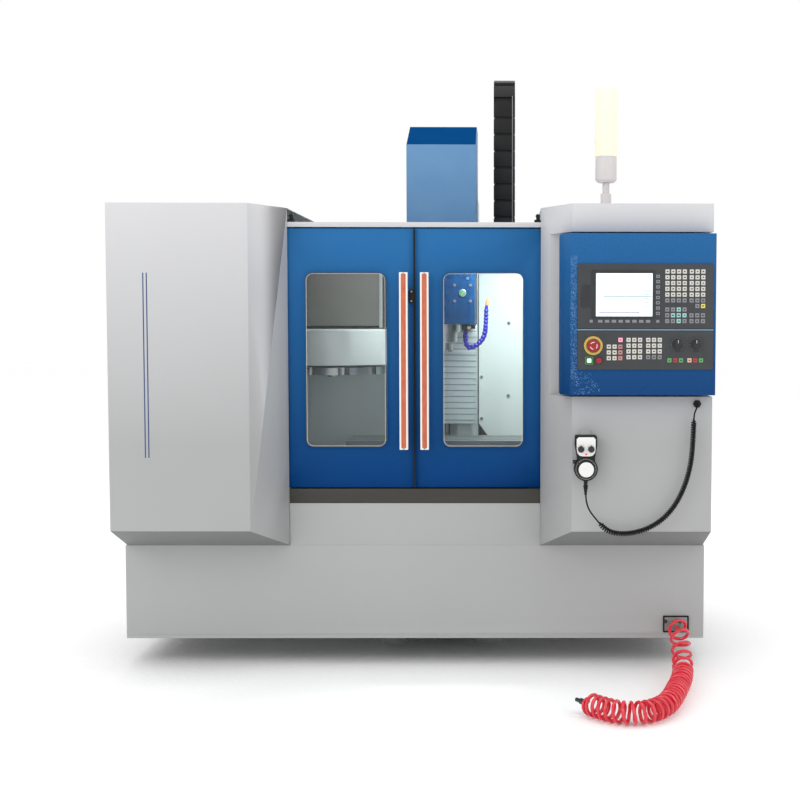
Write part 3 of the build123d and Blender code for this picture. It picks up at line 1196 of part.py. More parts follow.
# Electrical cabinet on the back, with its door, lock and a mounting plate of drives
ELECTRIC_HALF = 600.0
ELECTRIC_LOW = 440.0
ELECTRIC_TOP = 1480.0
ELECTRIC_DOOR_Y = REAR_Y - 34
ELECTRIC_DOOR_THICK = 20.0


def electrical_cabinet():
    outer = block(-ELECTRIC_HALF, ELECTRIC_HALF, ENCLOSURE_REAR_Y, ELECTRIC_DOOR_Y - 2, ELECTRIC_LOW,
                  ELECTRIC_TOP)
    inner = block(-ELECTRIC_HALF + SHEET, ELECTRIC_HALF - SHEET, ENCLOSURE_REAR_Y + SHEET,
                  ELECTRIC_DOOR_Y, ELECTRIC_LOW + SHEET, ELECTRIC_TOP - SHEET)
    return outer - inner


E_HINGE_X = -ELECTRIC_HALF - 7
E_HINGE_Y = ELECTRIC_DOOR_Y + 4


def electrical_door():
    y0 = ELECTRIC_DOOR_Y
    skin = block(-ELECTRIC_HALF + 2, ELECTRIC_HALF, y0, y0 + ELECTRIC_DOOR_THICK, ELECTRIC_LOW, ELECTRIC_TOP)
    hollow = block(-ELECTRIC_HALF + 6, ELECTRIC_HALF - SHEET, y0 - 1, y0 + ELECTRIC_DOOR_THICK - SHEET,
                   ELECTRIC_LOW + SHEET, ELECTRIC_TOP - SHEET)
    louvres = [block(250, 470, y0 + ELECTRIC_DOOR_THICK - SHEET - 1, y0 + ELECTRIC_DOOR_THICK + 1,
                     ELECTRIC_LOW + 90 + 24 * k, ELECTRIC_LOW + 98 + 24 * k) for k in range(8)]
    door = skin - hollow - louvres
    for z in (ELECTRIC_LOW + 120, ELECTRIC_TOP - 190):
        leaf = block(E_HINGE_X, -ELECTRIC_HALF + 4, y0 + 2, y0 + 6, z, z + 34)
        barrel = rod_z(6, E_HINGE_X, E_HINGE_Y, z, z + 34)
        door += leaf + barrel - rod_z(3 + SHAFT_CLEARANCE, E_HINGE_X, E_HINGE_Y, z - 1, z + 35)
    return door


def electrical_hinges():
    parts = []
    for z in (ELECTRIC_LOW + 120, ELECTRIC_TOP - 190):
        pin = rod_z(3, E_HINGE_X, E_HINGE_Y, z - 1, z + 70)
        barrel = rod_z(6, E_HINGE_X, E_HINGE_Y, z + 35, z + 69)
        leaf = block(E_HINGE_X - 3, -ELECTRIC_HALF, ELECTRIC_DOOR_Y - 44, ELECTRIC_DOOR_Y - 3, z, z + 69)
        bridge = block(E_HINGE_X - 3, E_HINGE_X + 3, ELECTRIC_DOOR_Y - 4, E_HINGE_Y, z + 35, z + 69)
        parts.append(pin + barrel + leaf + bridge)
    return parts


def electrical_latch():
    y0 = ELECTRIC_DOOR_Y + ELECTRIC_DOOR_THICK
    plate = block(ELECTRIC_HALF - 60, ELECTRIC_HALF - 30, y0, y0 + 4, 900, 1040)
    return plate + block(ELECTRIC_HALF - 52, ELECTRIC_HALF - 38, y0 + 4, REAR_Y, 920, 1020)


def drive_rack():
    """Mounting plate with drives in a row, contactors below and a wiring duct between them."""
    y = ENCLOSURE_REAR_Y + SHEET
    parts = block(-ELECTRIC_HALF + 40, ELECTRIC_HALF - 40, y, y + 4, ELECTRIC_LOW + 60, ELECTRIC_TOP - 60)
    for k in range(4):
        x = -480 + 150 * k
        parts += block(x, x + 110, y + 4, y + 184, 1080, 1340)
    parts += block(-500, 500, y + 4, y + 64, 960, 1020)
    for k in range(9):
        x = -470 + 100 * k
        parts += block(x, x + 62, y + 4, y + 94, 800, 890)
    return parts


# Every node's solids. A list holds pieces of one node that are solids of their own.
NODES = {
    "base_skirt": lambda: [base_skirt(), lower_front_panel()],
    "levelling_feet": levelling_feet,
    "bed_casting": bed_casting,
    "guide_rails": lambda: [bed_rails(), column_rails()],
    "left_cabinet": lambda: cabinet(-1),
    "right_cabinet": lambda: [cabinet(1)] + box_hinge(),
    "door_sill": door_sill,
    "door_rail": door_rail,
    "rear_walls": lambda: [rear_wall_left(), rear_wall_right()],
    "column": lambda: [column(), column_chain_bracket()],
    "axis_servos": lambda: [y_servo(), z_servo()],
    "z_screw": z_screw,
    "y_screw": y_screw,
    "x_screw": x_screw,
    "saddle": lambda: [saddle(), table_rails()],
    "work_table": work_table,
    "x_servo": x_servo,
    "head_casting": lambda: [head_casting(), head_chain_bracket()],
    "spindle_cartridge": spindle_cartridge,
    "spindle_shaft": spindle_shaft,
    "spindle_motor": lambda: [motor_mount(), spindle_motor(), drive_belt()],
    "motor_pulley": motor_pulley,
    "head_cover": head_cover,
    "z_way_cover": z_way_cover,
    "coolant_pipe": lambda: [coolant_valve(), coolant_pipe()],
    "cable_chain": cable_chain,
    "magazine_housing": lambda: [magazine_housing(), magazine_hat()],
    "magazine_carriage": lambda: [magazine_carriage(), disc_nut()],
    "tool_disc": tool_disc,
    "left_door": lambda: [door(-1), door_shoes(-1), door_lock()],
    "right_door": lambda: [door(1), door_shoes(1)],
    "left_window": lambda: window_pane(-1),
    "right_window": lambda: window_pane(1),
    "left_handle": lambda: door_handle(-1),
    "right_handle": lambda: door_handle(1),
    "lamp_stand": lambda: [lamp_pole(), lamp_base()],
    "lamp_lens": lamp_lens,
    "air_inlet": lambda: [air_port(), air_fitting()],
    "air_hose": air_hose,
    "hose_end": hose_end,
    "control_box": lambda: [control_box(), control_box_back()],
    "upper_panel": lambda: [upper_panel(), screen()],
    "lower_panel": lambda: [lower_panel(), stop_collar()],
    "keys": lambda: upper_keys() + lower_keys(),
    "stop_button": stop_button,
    "start_button": lambda: push_button(START_POS),
    "halt_button": lambda: push_button(HALT_POS),
    "speed_knob": lambda: override_knob(SPEED_POS),
    "feed_knob": lambda: override_knob(FEED_POS),
    "pendant": lambda: [pendant(), pendant_hook()],
    "pendant_dial": pendant_dial,
    "axis_selector": lambda: selector_knob(SELECTORS[0]),
    "step_selector": lambda: selector_knob(SELECTORS[1]),
    "enable_button": enable_button,
    "cord_gland": cord_gland,
    "pendant_cord": lambda: [cord_tube("pendant_cord lead", LEAD_ROUTE, CORD_RADIUS),
                             cord_tube("pendant_cord tail", TAIL_ROUTE, CORD_RADIUS)],
    "pendant_curl": lambda: cord_tube("pendant_curl", CURL_ROUTE, CURL_RADIUS),
    "electrical_cabinet": lambda: [electrical_cabinet(), drive_rack()] + electrical_hinges(),
    "electrical_door": lambda: [electrical_door(), electrical_latch()],
}


def main():
    os.makedirs("parts", exist_ok=True)
    for name, make in NODES.items():
        result = make()
        save(name, *(result if isinstance(result, (list, tuple)) else [result]))


if __name__ == "__main__":
    main()
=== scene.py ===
# %% [markdown]
# A small vertical machining centre: grey powder-coated cabinets, blue doors, a swinging control box
# and a spindle head over a cross table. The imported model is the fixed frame, and every piece made
# here is placed from it, in metres, with +Z up and the doors facing -Y.

# %% Load the frame
import math
import random
from types import SimpleNamespace

import bmesh
import bpy
from mathutils import Matrix, Vector


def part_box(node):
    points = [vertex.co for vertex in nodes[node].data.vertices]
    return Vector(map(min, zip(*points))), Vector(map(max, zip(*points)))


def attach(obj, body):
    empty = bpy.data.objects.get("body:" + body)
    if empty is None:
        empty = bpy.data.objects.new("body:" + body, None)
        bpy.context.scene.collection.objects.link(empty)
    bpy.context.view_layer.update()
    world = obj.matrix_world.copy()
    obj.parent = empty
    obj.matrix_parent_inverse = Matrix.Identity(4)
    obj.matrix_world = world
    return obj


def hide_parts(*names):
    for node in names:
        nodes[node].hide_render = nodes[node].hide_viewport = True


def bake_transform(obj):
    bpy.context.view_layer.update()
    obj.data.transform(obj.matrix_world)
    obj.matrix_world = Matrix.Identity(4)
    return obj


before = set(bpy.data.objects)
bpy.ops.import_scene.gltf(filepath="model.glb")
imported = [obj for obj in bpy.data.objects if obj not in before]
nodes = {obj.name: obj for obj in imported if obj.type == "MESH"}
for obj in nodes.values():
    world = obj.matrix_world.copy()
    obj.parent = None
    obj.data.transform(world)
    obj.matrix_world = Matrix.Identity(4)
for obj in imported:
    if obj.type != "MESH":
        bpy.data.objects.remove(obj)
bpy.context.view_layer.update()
MM = 0.001

# %% [markdown]
# Colours are written as sRGB hex, as a picker shows them, and one function turns them to the linear
# values that shaders work in. One small function adds a node with its settings, values and links, so
# that a tree reads as a list of what its nodes do.

# %% Colour and node helpers
def linear(hex_colour):
    """An sRGB hex colour as linear RGBA."""
    parts = [int(hex_colour[i:i + 2], 16) / 255 for i in (1, 3, 5)]
    return [c / 12.92 if c <= 0.04045 else ((c + 0.055) / 1.055) ** 2.4 for c in parts] + [1.0]


def add_node(tree, kind, inputs=None, **settings):
    """Adds a node with its settings. An input is given as a value, as the output that it is linked to,
    or as a node, which stands for that node's first output."""
    node = tree.nodes.new(kind)
    for key, value in settings.items():
        setattr(node, key, value)
    for key, value in (inputs or {}).items():
        if isinstance(value, bpy.types.Node):
            value = value.outputs[0]
        if isinstance(value, bpy.types.NodeSocket):
            tree.links.new(value, node.inputs[key])
        else:
            node.inputs[key].default_value = value
    return node


# %% [markdown]
# Every finish starts from the same base: a Principled shader that reads Object coordinates, two close
# colours mixed by a soft noise so that no surface is one flat tone, and a bump whose grain is given in
# millimetres. A finish then differs by its colours, its gloss and the size and depth of its grain.

# %% Finish helper
MIX_A, MIX_B, MIX_RESULT = 6, 7, 2    # the colour sockets of a Mix node, which share names with others
METALLIC, SPECULAR = "Metallic", "Specular IOR Level"
GLOW, GLOW_COLOUR = "Emission Strength", "Emission Color"


def finish_of(name, hex_a, hex_b, roughness, mottle_mm, grain_mm, grain_depth, more=None,
              stretch=(1, 1, 1)):
    """A material with mottled colour and a grain bump; more holds other values of the shader."""
    material = bpy.data.materials.new(name)
    material.use_nodes = True
    tree = material.node_tree
    shader = tree.nodes["Principled BSDF"]
    place = add_node(tree, "ShaderNodeTexCoord").outputs["Object"]
    along = add_node(tree, "ShaderNodeMapping", {"Scale": stretch, "Vector": place}).outputs["Vector"]
    cloud = add_node(tree, "ShaderNodeTexNoise",
                     {"Scale": 1 / (mottle_mm * MM), "Detail": 3.0, "Vector": along})
    tone = add_node(tree, "ShaderNodeMix",
                    {MIX_A: linear(hex_a), MIX_B: linear(hex_b), "Factor": cloud.outputs["Fac"]},
                    data_type="RGBA")
    grain = add_node(tree, "ShaderNodeTexNoise",
                     {"Scale": 1 / (grain_mm * MM), "Detail": 2.0, "Vector": along})
    bump = add_node(tree, "ShaderNodeBump",
                    {"Strength": grain_depth, "Distance": grain_mm * MM, "Height": grain.outputs["Fac"]})
    tree.links.new(tone.outputs[MIX_RESULT], shader.inputs["Base Color"])
    tree.links.new(bump.outputs["Normal"], shader.inputs["Normal"])
    for key, value in {"Roughness": roughness, **(more or {})}.items():
        shader.inputs[key].default_value = value
    return material


def painted_light_by_height(material, pale, deep, low, high):
    """Ramps both mottle colours along Z, as painted light and shade; pale and deep are each a pair of hexes,
    at low and at high.
    """
    tree = material.node_tree
    mix = next(n for n in tree.nodes if n.type == "MIX")
    place = next(n for n in tree.nodes if n.type == "TEX_COORD").outputs["Object"]
    split = add_node(tree, "ShaderNodeSeparateXYZ", {"Vector": place})
    ramp = add_node(tree, "ShaderNodeMapRange",
                    {"From Min": low, "From Max": high, "Value": split.outputs["Z"]})
    for socket, (hex_low, hex_high) in ((MIX_A, pale), (MIX_B, deep)):
        tone = add_node(tree, "ShaderNodeMix",
                        {MIX_A: linear(hex_low), MIX_B: linear(hex_high), "Factor": ramp.outputs["Result"]},
                        data_type="RGBA")
        tree.links.new(tone.outputs[MIX_RESULT], mix.inputs[socket])


# %% [markdown]
# The sheet metal is powder coated: a baked plastic skin with a faint orange peel of one to two
# millimetres, which spreads every reflection into a soft sheen. The doors and the control box have the
# same coat in blue, with a coarser hammered texture that breaks the reflections up. Castings carry a
# thick brushed enamel, and the walls of the chamber a smooth white one, so that chips wash off. Each
# could be one flat colour, but then a large sheet looks like paper, so two close tones drift over it.

# %% Sheet metal and paints
coat = SimpleNamespace()


def mix_finishes(rows):
    """Makes a finish of each row: name, two close colours, roughness, size of the mottle and of the
    grain in mm, depth of the grain, other values of the shader, and the stretch of the grain."""
    for key, row in rows.items():
        setattr(coat, key, finish_of(*row))
    print("finishes", list(rows))


mix_finishes({
    # Powder coat, satin, and a darker copy of it, painted shade on the sloping faces that look down at the
    # floor.
    "powder_grey": ("powder_coat_grey", "#BDBEC0", "#B3B5B7", 0.42, 400, 1.6, 0.05),
    "powder_under": ("powder_coat_painted_shade", "#7E8180", "#777A79", 0.5, 400, 1.6, 0.05, {SPECULAR: 0.3}),
    # Hammered coat: dull at a distance, with a grain of 2.6 mm that glints at a low angle.
    "hammered_blue": ("hammered_blue_coat", "#0A3F7C", "#0D4482", 0.36, 200, 2.6, 0.28, {SPECULAR: 0.07}),
    "box_blue": ("box_hammered_blue", "#062F5E", "#0C3F74", 0.38, 5, 2.6, 0.35, {SPECULAR: 0.12}),
    # Painted glints: pale blue specks laid on the control box's coat.
    "hammer_glint": ("hammered_glint", "#6A90BE", "#4472A8", 0.3, 8, 0.5, 0.05),
    # Brushed enamel on the head and its cover: satin, with soft brush marks of 2 mm.
    "head_blue": ("head_paint_blue", "#021C42", "#09406C", 0.45, 18, 2.0, 0.15, {SPECULAR: 0.06}),
    "cover_blue": ("head_cover_blue", "#5886B2", "#6C95BC", 0.45, 120, 2.0, 0.1, {SPECULAR: 0.25}),
    # A darker, matt copy of the cover's blue: painted shade on the sloping top.
    "cover_top_blue": ("cover_top_blue", "#073B6E", "#0B467C", 0.7, 120, 2.0, 0.12, {SPECULAR: 0.0}),
    # Enamel: matt and coarse on castings, smooth and glossy on the walls and the hat.
    "cast_paint": ("painted_cast_iron", "#6E7674", "#5D6563", 0.55, 90, 2.2, 0.25),
    "white_wall": ("white_gloss_wall", "#E2ECEA", "#D6E2DF", 0.28, 300, 1.4, 0.03),
    "hat_paint": ("pale_hat_paint", "#D6DEDB", "#C4CECB", 0.34, 200, 1.2, 0.04),
    "housing_paint": ("grey_housing_paint", "#80807A", "#73736D", 0.5, 150, 1.2, 0.05),
})
# Painted light and shade: the grey, the doors' blue and the box's blue each go from darker at the bottom to
# lighter at the top.
painted_light_by_height(coat.powder_grey, ("#A7A8A8", "#CDCDCF"), ("#A1A2A2", "#C7C7C9"), 0.75, 1.5)
painted_light_by_height(coat.hammered_blue, ("#00366F", "#2E6EA6"), ("#023C76", "#2868A0"), 0.6, 1.45)
painted_light_by_height(coat.box_blue, ("#05305F", "#1B568C"), ("#0C4078", "#2B6CA4"), 0.85, 1.45)

# %% [markdown]
# Ground and brushed steels keep a metal's mirror, stretched along the direction of the tool marks, so
# that a lamp becomes a long streak. Plated steel is brighter and even, and blackened steel keeps only
# a dull gleam. The grain is drawn coarser than the real scratches, which are too fine to show.

# %% Bare metals
mix_finishes({
    # Steel brushed or ground along X.
    "brushed_sill": ("brushed_dark_steel", "#484744", "#3B3A37", 0.38, 60, 0.9, 0.12,
        {METALLIC: 0.7}, (0.02, 1, 1)),
    "ground_steel": ("ground_steel", "#A9ADAD", "#8F9494", 0.3, 40, 0.7, 0.08,
        {METALLIC: 0.85}, (0.06, 1, 1)),
    "slat_steel": ("stainless_slats", "#E3F0F1", "#D0DDE0", 0.38, 60, 0.8, 0.06,
        {METALLIC: 0.3}, (0.06, 1, 1)),
    # Painted shadow lines under the lips of the slats, and steel plates with a dull, even gleam.
    "slat_edge": ("slat_shadow_edge", "#8B9699", "#7B8689", 0.5, 20, 0.5, 0.04, {METALLIC: 0.3}),
    "inlet_steel": ("inlet_plate_steel", "#8E908D", "#7C7E7B", 0.35, 20, 0.5, 0.06, {METALLIC: 0.6}),
    "gunmetal": ("blackened_steel", "#4A4A4C", "#3A3A3C", 0.35, 10, 0.4, 0.05, {METALLIC: 0.7}),
    # Zinc and nickel plating: bright, with a cool or a warm tint.
    "zinc_steel": ("zinc_plated_steel", "#B9BDC0", "#A2A7AB", 0.32, 12, 0.5, 0.06, {METALLIC: 0.85}),
    "nickel_brass": ("nickel_plated_brass", "#C9BE9A", "#B4A982", 0.28, 10, 0.4, 0.05, {METALLIC: 0.9}),
})

# %% [markdown]
# Moulded plastics differ by gloss: nylon and rubber are dull, ABS has a clear soft highlight and
# polyurethane hose looks wet. Printed foil is flat and even, with hardly any grain. They could share
# one grey and one black, but side by side their gloss is what tells them apart.

# %% Plastics, rubber and foil
mix_finishes({
    # Nylon and rubber, dull black, and ABS with a polished highlight.
    "black_nylon": ("black_moulded_nylon", "#1B1B1C", "#131314", 0.5, 30, 0.5, 0.1, {SPECULAR: 0.25}),
    "rubber": ("black_seal_rubber", "#121314", "#191A1B", 0.6, 20, 0.5, 0.12, {SPECULAR: 0.2}),
    "black_gloss": ("black_gloss_abs", "#17181A", "#1F2022", 0.22, 25, 0.6, 0.03),
    "seal_grey": ("window_seal_grey", "#46494C", "#3C3F42", 0.6, 20, 0.5, 0.1, {SPECULAR: 0.2}),
    # White and pale grey ABS, satin.
    "handle_white": ("handle_white_abs", "#F0EEE8", "#E4E2DC", 0.35, 60, 0.6, 0.04),
    "lamp_grey": ("lamp_base_abs", "#D0CBCB", "#C4BFBF", 0.4, 40, 0.6, 0.05),
    "pendant_white": ("pendant_face_white", "#E8E8E6", "#DCDCDA", 0.4, 20, 0.5, 0.05),
    # Printed polyester foil, flat and even. The orange one is streaked along its length.
    "panel_foil": ("dark_panel_foil", "#33363A", "#2C2F32", 0.45, 40, 0.4, 0.06),
    "bezel_foil": ("bezel_foil", "#26282B", "#1E2022", 0.32, 40, 0.4, 0.04),
    "split_foil": ("panel_split_foil", "#8FA6BC", "#8299B0", 0.4, 30, 0.5, 0.03),
    "stripe_blue": ("stripe_foil_blue", "#27477A", "#1F3D6E", 0.4, 30, 0.6, 0.03),
    "handle_orange": ("handle_orange_foil", "#D2714F", "#A84B2C", 0.45, 10, 0.8, 0.1, {}, (1, 1, 0.35)),
    "mark_white": ("mark_white_print", "#E9E9E6", "#DCDCD8", 0.5, 10, 0.4, 0.02),
    # Polyurethane tube: a red with a wet looking coat.
    "hose_red": ("polyurethane_red", "#E0283C", "#CC1E30", 0.18, 60, 0.8, 0.02,
        {"Coat Weight": 0.4, "Coat Roughness": 0.1}),
    # Acetal of the segmented coolant hose, smooth and satin.
    "coolant_blue": ("coolant_segment_blue", "#2C24A6", "#201A90", 0.35, 20, 0.5, 0.04),
    "nozzle_orange": ("coolant_nozzle_orange", "#E08A5A", "#D47A48", 0.35, 20, 0.5, 0.04),
})

# %% [markdown]
# The keys are domes under printed foil: matt, so that a lamp overhead doesn't hide their marks. The
# stop button is a gloss moulding in a satin yellow collar, made to catch the eye.

# %% Keys and buttons
mix_finishes({
    # Foil over key domes, matt, with a grain of 0.4 mm.
    "key_cream": ("cream_key", "#CFCDC4", "#C3C0B6", 0.5, 8, 0.4, 0.05),
    "key_grey": ("grey_key", "#85868A", "#75777A", 0.5, 8, 0.4, 0.05),
    "key_yellow": ("yellow_key", "#E4D860", "#D6C84E", 0.5, 8, 0.4, 0.05),
    "key_teal": ("teal_key", "#9CC6C3", "#8BB8B5", 0.5, 8, 0.4, 0.05),
    "key_red": ("red_key", "#B03A34", "#9C2E2A", 0.45, 8, 0.4, 0.05),
    "key_green": ("green_key", "#5FA862", "#4F9853", 0.45, 8, 0.4, 0.05),
    "key_rose": ("rose_key", "#C08A88", "#B07A78", 0.5, 8, 0.4, 0.05),
    "key_peach": ("peach_key", "#E0B9A0", "#D4AA90", 0.5, 8, 0.4, 0.05),
    # Moulded polycarbonate of the buttons, from satin to gloss.
    "stop_yellow": ("stop_yellow", "#D0AE52", "#C3A146", 0.4, 15, 0.5, 0.04),
    "stop_red": ("stop_red", "#8E1418", "#A01A1E", 0.25, 15, 0.5, 0.03),
    "start_green": ("start_green", "#4F9E52", "#438F48", 0.35, 10, 0.4, 0.02),
})

# %% [markdown]
# What is lit gives a little light of its own, just enough to read as lit in a bright room. The windows
# are clear polycarbonate: nearly all of it is see-through, and only a faint reflection shows that a
# pane is there. The lines on the display are print-like strokes without light.

# %% Lit and clear parts
mix_finishes({
    # Lit lenses and the display: frosted or smooth, with a faint glow.
    "key_lit": ("lit_pink_key", "#F0A0B4", "#E890A6", 0.4, 8, 0.4, 0.03,
        {GLOW: 0.5, GLOW_COLOUR: linear("#F08AA8")}),
    "start_lens": ("start_lit_lens", "#D8F6E8", "#C8EEDC", 0.3, 10, 0.4, 0.02,
        {GLOW: 0.45, GLOW_COLOUR: linear("#C4F4DC")}),
    "lamp_glow": ("lamp_frosted_lens", "#F6ECD6", "#F0E2C4", 0.45, 40, 2.0, 0.1,
        {GLOW: 0.2, GLOW_COLOUR: linear("#FFE9BE")}),
    "screen_light": ("screen_light", "#E9EEF0", "#DDE4E8", 0.2, 60, 0.5, 0.0,
        {GLOW: 0.75, GLOW_COLOUR: linear("#E4ECF0")}),
    "lit_red": ("lit_red_lens", "#E02828", "#D02020", 0.25, 5, 0.4, 0.0,
        {GLOW: 0.8, GLOW_COLOUR: linear("#FF3020")}),
    # Strokes on the display, flat and matt.
    "faint_line": ("faint_display_line", "#75838B", "#66747C", 0.6, 10, 0.5, 0.0),
    "teal_line": ("teal_display_line", "#4C8F92", "#438286", 0.6, 10, 0.5, 0.0),
    "violet_line": ("violet_display_line", "#7A5C96", "#6D508A", 0.6, 10, 0.5, 0.0),
    # Gloss sight glass, and clear window sheet.
    "sight_green": ("sight_glass_green", "#3F8E58", "#35804C", 0.12, 6, 0.4, 0.0),
    "pane_clear": ("clear_polycarbonate", "#E8F4F2", "#DFECEA", 0.04, 300, 30, 0.01, {"Alpha": 0.02}),
})

# %% [markdown]
# The photograph was taken from a little to the right of the machine's middle, at eye height. The
# camera's place, lens and shift were fitted to corners of the cabinets, doors and base.

# %% Camera
EYE = Vector((0.307, -4.969, 1.149))
YAW, PITCH, ROLL = 0.00806, -0.0597, 0.0013
LENS, SHIFT = 61.2, -0.149


def placed(name, data):
    """A new object that holds some data, in the scene."""
    thing = bpy.data.objects.new(name, data)
    bpy.context.collection.objects.link(thing)
    return thing


look = Vector((math.sin(YAW) * math.cos(PITCH), math.cos(YAW) * math.cos(PITCH), math.sin(PITCH)))
level = look.cross(Vector((0, 0, 1))).normalized()
right = level * math.cos(ROLL) + level.cross(look) * math.sin(ROLL)
up = right.cross(look)
camera = placed("photo_camera", bpy.data.cameras.new("photo_camera"))
camera.matrix_world = Matrix.Translation(EYE) @ Matrix((right, up, -look)).transposed().to_4x4()
camera.data.lens = LENS
camera.data.shift_x = SHIFT
bpy.context.scene.camera = camera
bpy.context.scene.view_settings.view_transform = "Standard"
print("camera at", [round(v, 3) for v in EYE])

# %% [markdown]
# A plain pale floor and four large soft lights: a key from the front left, a fill from the right, one
# from above and one from behind. A narrow light under the door rail stands for the machine's own work
# light, because the chamber in the photograph is bright.

# %% Floor and lights
def stage_floor(size, tone):
    mesh = bpy.data.meshes.new("floor")
    mesh.from_pydata([(-size, -size, 0), (size, -size, 0), (size, size, 0), (-size, size, 0)], [],
                     [(0, 1, 2, 3)])
    mesh.materials.append(finish_of("pale_floor", tone, tone, 0.8, 900, 20, 0.1))
    placed("floor", mesh)


def soft_light(name, place, target, width, height, power, tone="#FFFFFF"):
    lamp = bpy.data.lights.new(name, "AREA")
    lamp.shape = "RECTANGLE"
    lamp.size, lamp.size_y = width, height
    lamp.energy = power
    lamp.color = linear(tone)[:3]
    holder = placed(name, lamp)
    holder.location = place
    holder.rotation_euler = (Vector(target) - Vector(place)).to_track_quat("-Z", "Y").to_euler()
    print("light", name, power, "W")


stage_floor(30, "#FFFFFF")
soft_light("key", (-3.2, -4.6, 3.6), (0, 0, 1.0), 3.0, 2.4, 46)
soft_light("fill", (4.0, -4.2, 2.4), (0.2, 0, 1.0), 3.0, 3.0, 27)
soft_light("top", (0, -0.4, 4.6), (0, 0, 1.0), 4.0, 3.0, 40)
soft_light("rim", (0, 4.2, 3.0), (0, 0, 1.0), 3.0, 2.0, 30)
soft_light("work_light", (0.34, -0.26, 1.41), (0.36, 0.08, 0.4), 0.3, 0.05, 5.6, "#F4FFFC")
world = bpy.data.worlds.new("studio") if not bpy.data.worlds else bpy.data.worlds[0]
bpy.context.scene.world = world
world.use_nodes = True
sky = world.node_tree.nodes["Background"]
sky.inputs["Color"].default_value = linear("#FFFFFF")
sky.inputs["Strength"].default_value = 1.0

# %% [markdown]
# A small piece is drawn in a bmesh, Blender's mesh editor for scripts: boxes by two corners, and round
# parts by turning an outline about an axis. Their vertices are given in the machine's own place, so
# nothing has to be moved afterwards.

# %% Boxes and turned shapes
FRONT = (0, -1, 0)


def slab(bm, x0, x1, y0, y1, z0, z1):
    """A box between two corners in millimetres."""
    size = Vector((x1 - x0, y1 - y0, z1 - z0)) * MM
    place = Matrix.Translation(Vector((x0 + x1, y0 + y1, z0 + z1)) * MM / 2)
    bmesh.ops.create_cube(bm, size=1.0, matrix=place @ Matrix.Diagonal((*size, 1.0)))


def bridge(bm, low, high):
    """Quads between two closed rings of as many points."""
    for k in range(len(low)):
        n = (k + 1) % len(low)
        bm.faces.new((low[k], low[n], high[n], high[k]))


def skin(bm, rings):
    """Bridges a row of rings and closes both ends."""
    for low, high in zip(rings, rings[1:]):
        bridge(bm, low, high)
    bm.faces.new(reversed(rings[0]))
    bm.faces.new(rings[-1])


def turned(bm, profile, place, steps=32):
    """Turns a (radius, height) outline in mm about local Z, from one point on the axis to another."""
    rings = []
    for radius, height in profile:
        if radius < 1e-6:
            rings.append([bm.verts.new(place @ Vector((0, 0, height * MM)))])
            continue
        angles = [2 * math.pi * k / steps for k in range(steps)]
        spots = [Vector((radius * math.cos(a), radius * math.sin(a), height)) * MM for a in angles]
        rings.append([bm.verts.new(place @ spot) for spot in spots])
    for low, high in zip(rings, rings[1:]):
        if len(low) == len(high):
            bridge(bm, low, high)
            continue
        tip, ring = (low[0], high) if len(low) == 1 else (high[0], low)
        for k in range(steps):
            bm.faces.new((ring[k], ring[(k + 1) % steps], tip))


def facing(x, y, z, towards=FRONT):
    """A place in mm whose local Z points towards a direction."""
    turn = Vector(towards).to_track_quat("Z", "Y").to_matrix().to_4x4()
    return Matrix.Translation(Vector((x, y, z)) * MM) @ turn


# %% [markdown]
# Every piece ends in one function that gives it its finish and breaks its edges, so that each edge
# catches a thin line of light as real folded or moulded edges do. The bevel is a live modifier for a
# moment and then becomes plain mesh. Last, the piece is put on the body that it moves with.

# %% Finished pieces
def plain(piece):
    """Replaces a piece's mesh by its evaluated one and drops the modifiers."""
    shown = piece.evaluated_get(bpy.context.evaluated_depsgraph_get())
    mesh = bpy.data.meshes.new_from_object(shown)
    piece.modifiers.clear()
    piece.data = mesh


def rides(piece, body):
    """Puts a piece on a body, or on none."""
    if body:
        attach(piece, body)
    print("made", piece.name, "on", body or "two bodies", "with", len(piece.data.polygons), "faces")
    return piece


def make_piece(name, bm, body, slot, material, bevel_mm=0.0, segments=2, smooth=False, extra=()):
    """Turns a bmesh into a finished piece."""
    bmesh.ops.recalc_face_normals(bm, faces=bm.faces)
    mesh = bpy.data.meshes.new(name)
    bm.to_mesh(mesh)
    bm.free()
    for finish in (material, *extra):
        mesh.materials.append(finish)
    piece = placed(name, mesh)
    if bevel_mm:
        edge = piece.modifiers.new("edge", "BEVEL")
        edge.width = bevel_mm * MM
        edge.segments = segments
        edge.limit_method = "ANGLE"
        plain(piece)
    for polygon in piece.data.polygons:
        polygon.use_smooth = smooth or bool(bevel_mm)
    if smooth or bevel_mm:
        piece.data.set_sharp_from_angle(angle=math.radians(40))
    return rides(piece, body)


def bars(name, body, slot, finish, *boxes, bevel=0.0):
    """A piece made of boxes in mm."""
    bm = bmesh.new()
    for box in boxes:
        slab(bm, *box)
    return make_piece(name, bm, body, slot, finish, bevel)


def spun(name, body, slot, finish, profile, place, steps=32):
    """A piece turned from one outline."""
    bm = bmesh.new()
    turned(bm, profile, place, steps)
    return make_piece(name, bm, body, slot, finish, smooth=True)


# %% [markdown]
# Seals, bezels and frames are flat rings between two rounded rectangles. A ring is drawn as four loops
# of points, front and back, outside and inside, with faces bridged between each loop and the next.

# %% Rims
def rounded_outline(x0, x1, z0, z1, radius, steps=8):
    """A rounded rectangle as (x, z) points, anticlockwise."""
    points = []
    for cx, cz, start in ((x1 - radius, z1 - radius, 0), (x0 + radius, z1 - radius, 90),
                          (x0 + radius, z0 + radius, 180), (x1 - radius, z0 + radius, 270)):
        for k in range(steps + 1):
            angle = math.radians(start + 90 * k / steps)
            points.append((cx + radius * math.cos(angle), cz + radius * math.sin(angle)))
    return points


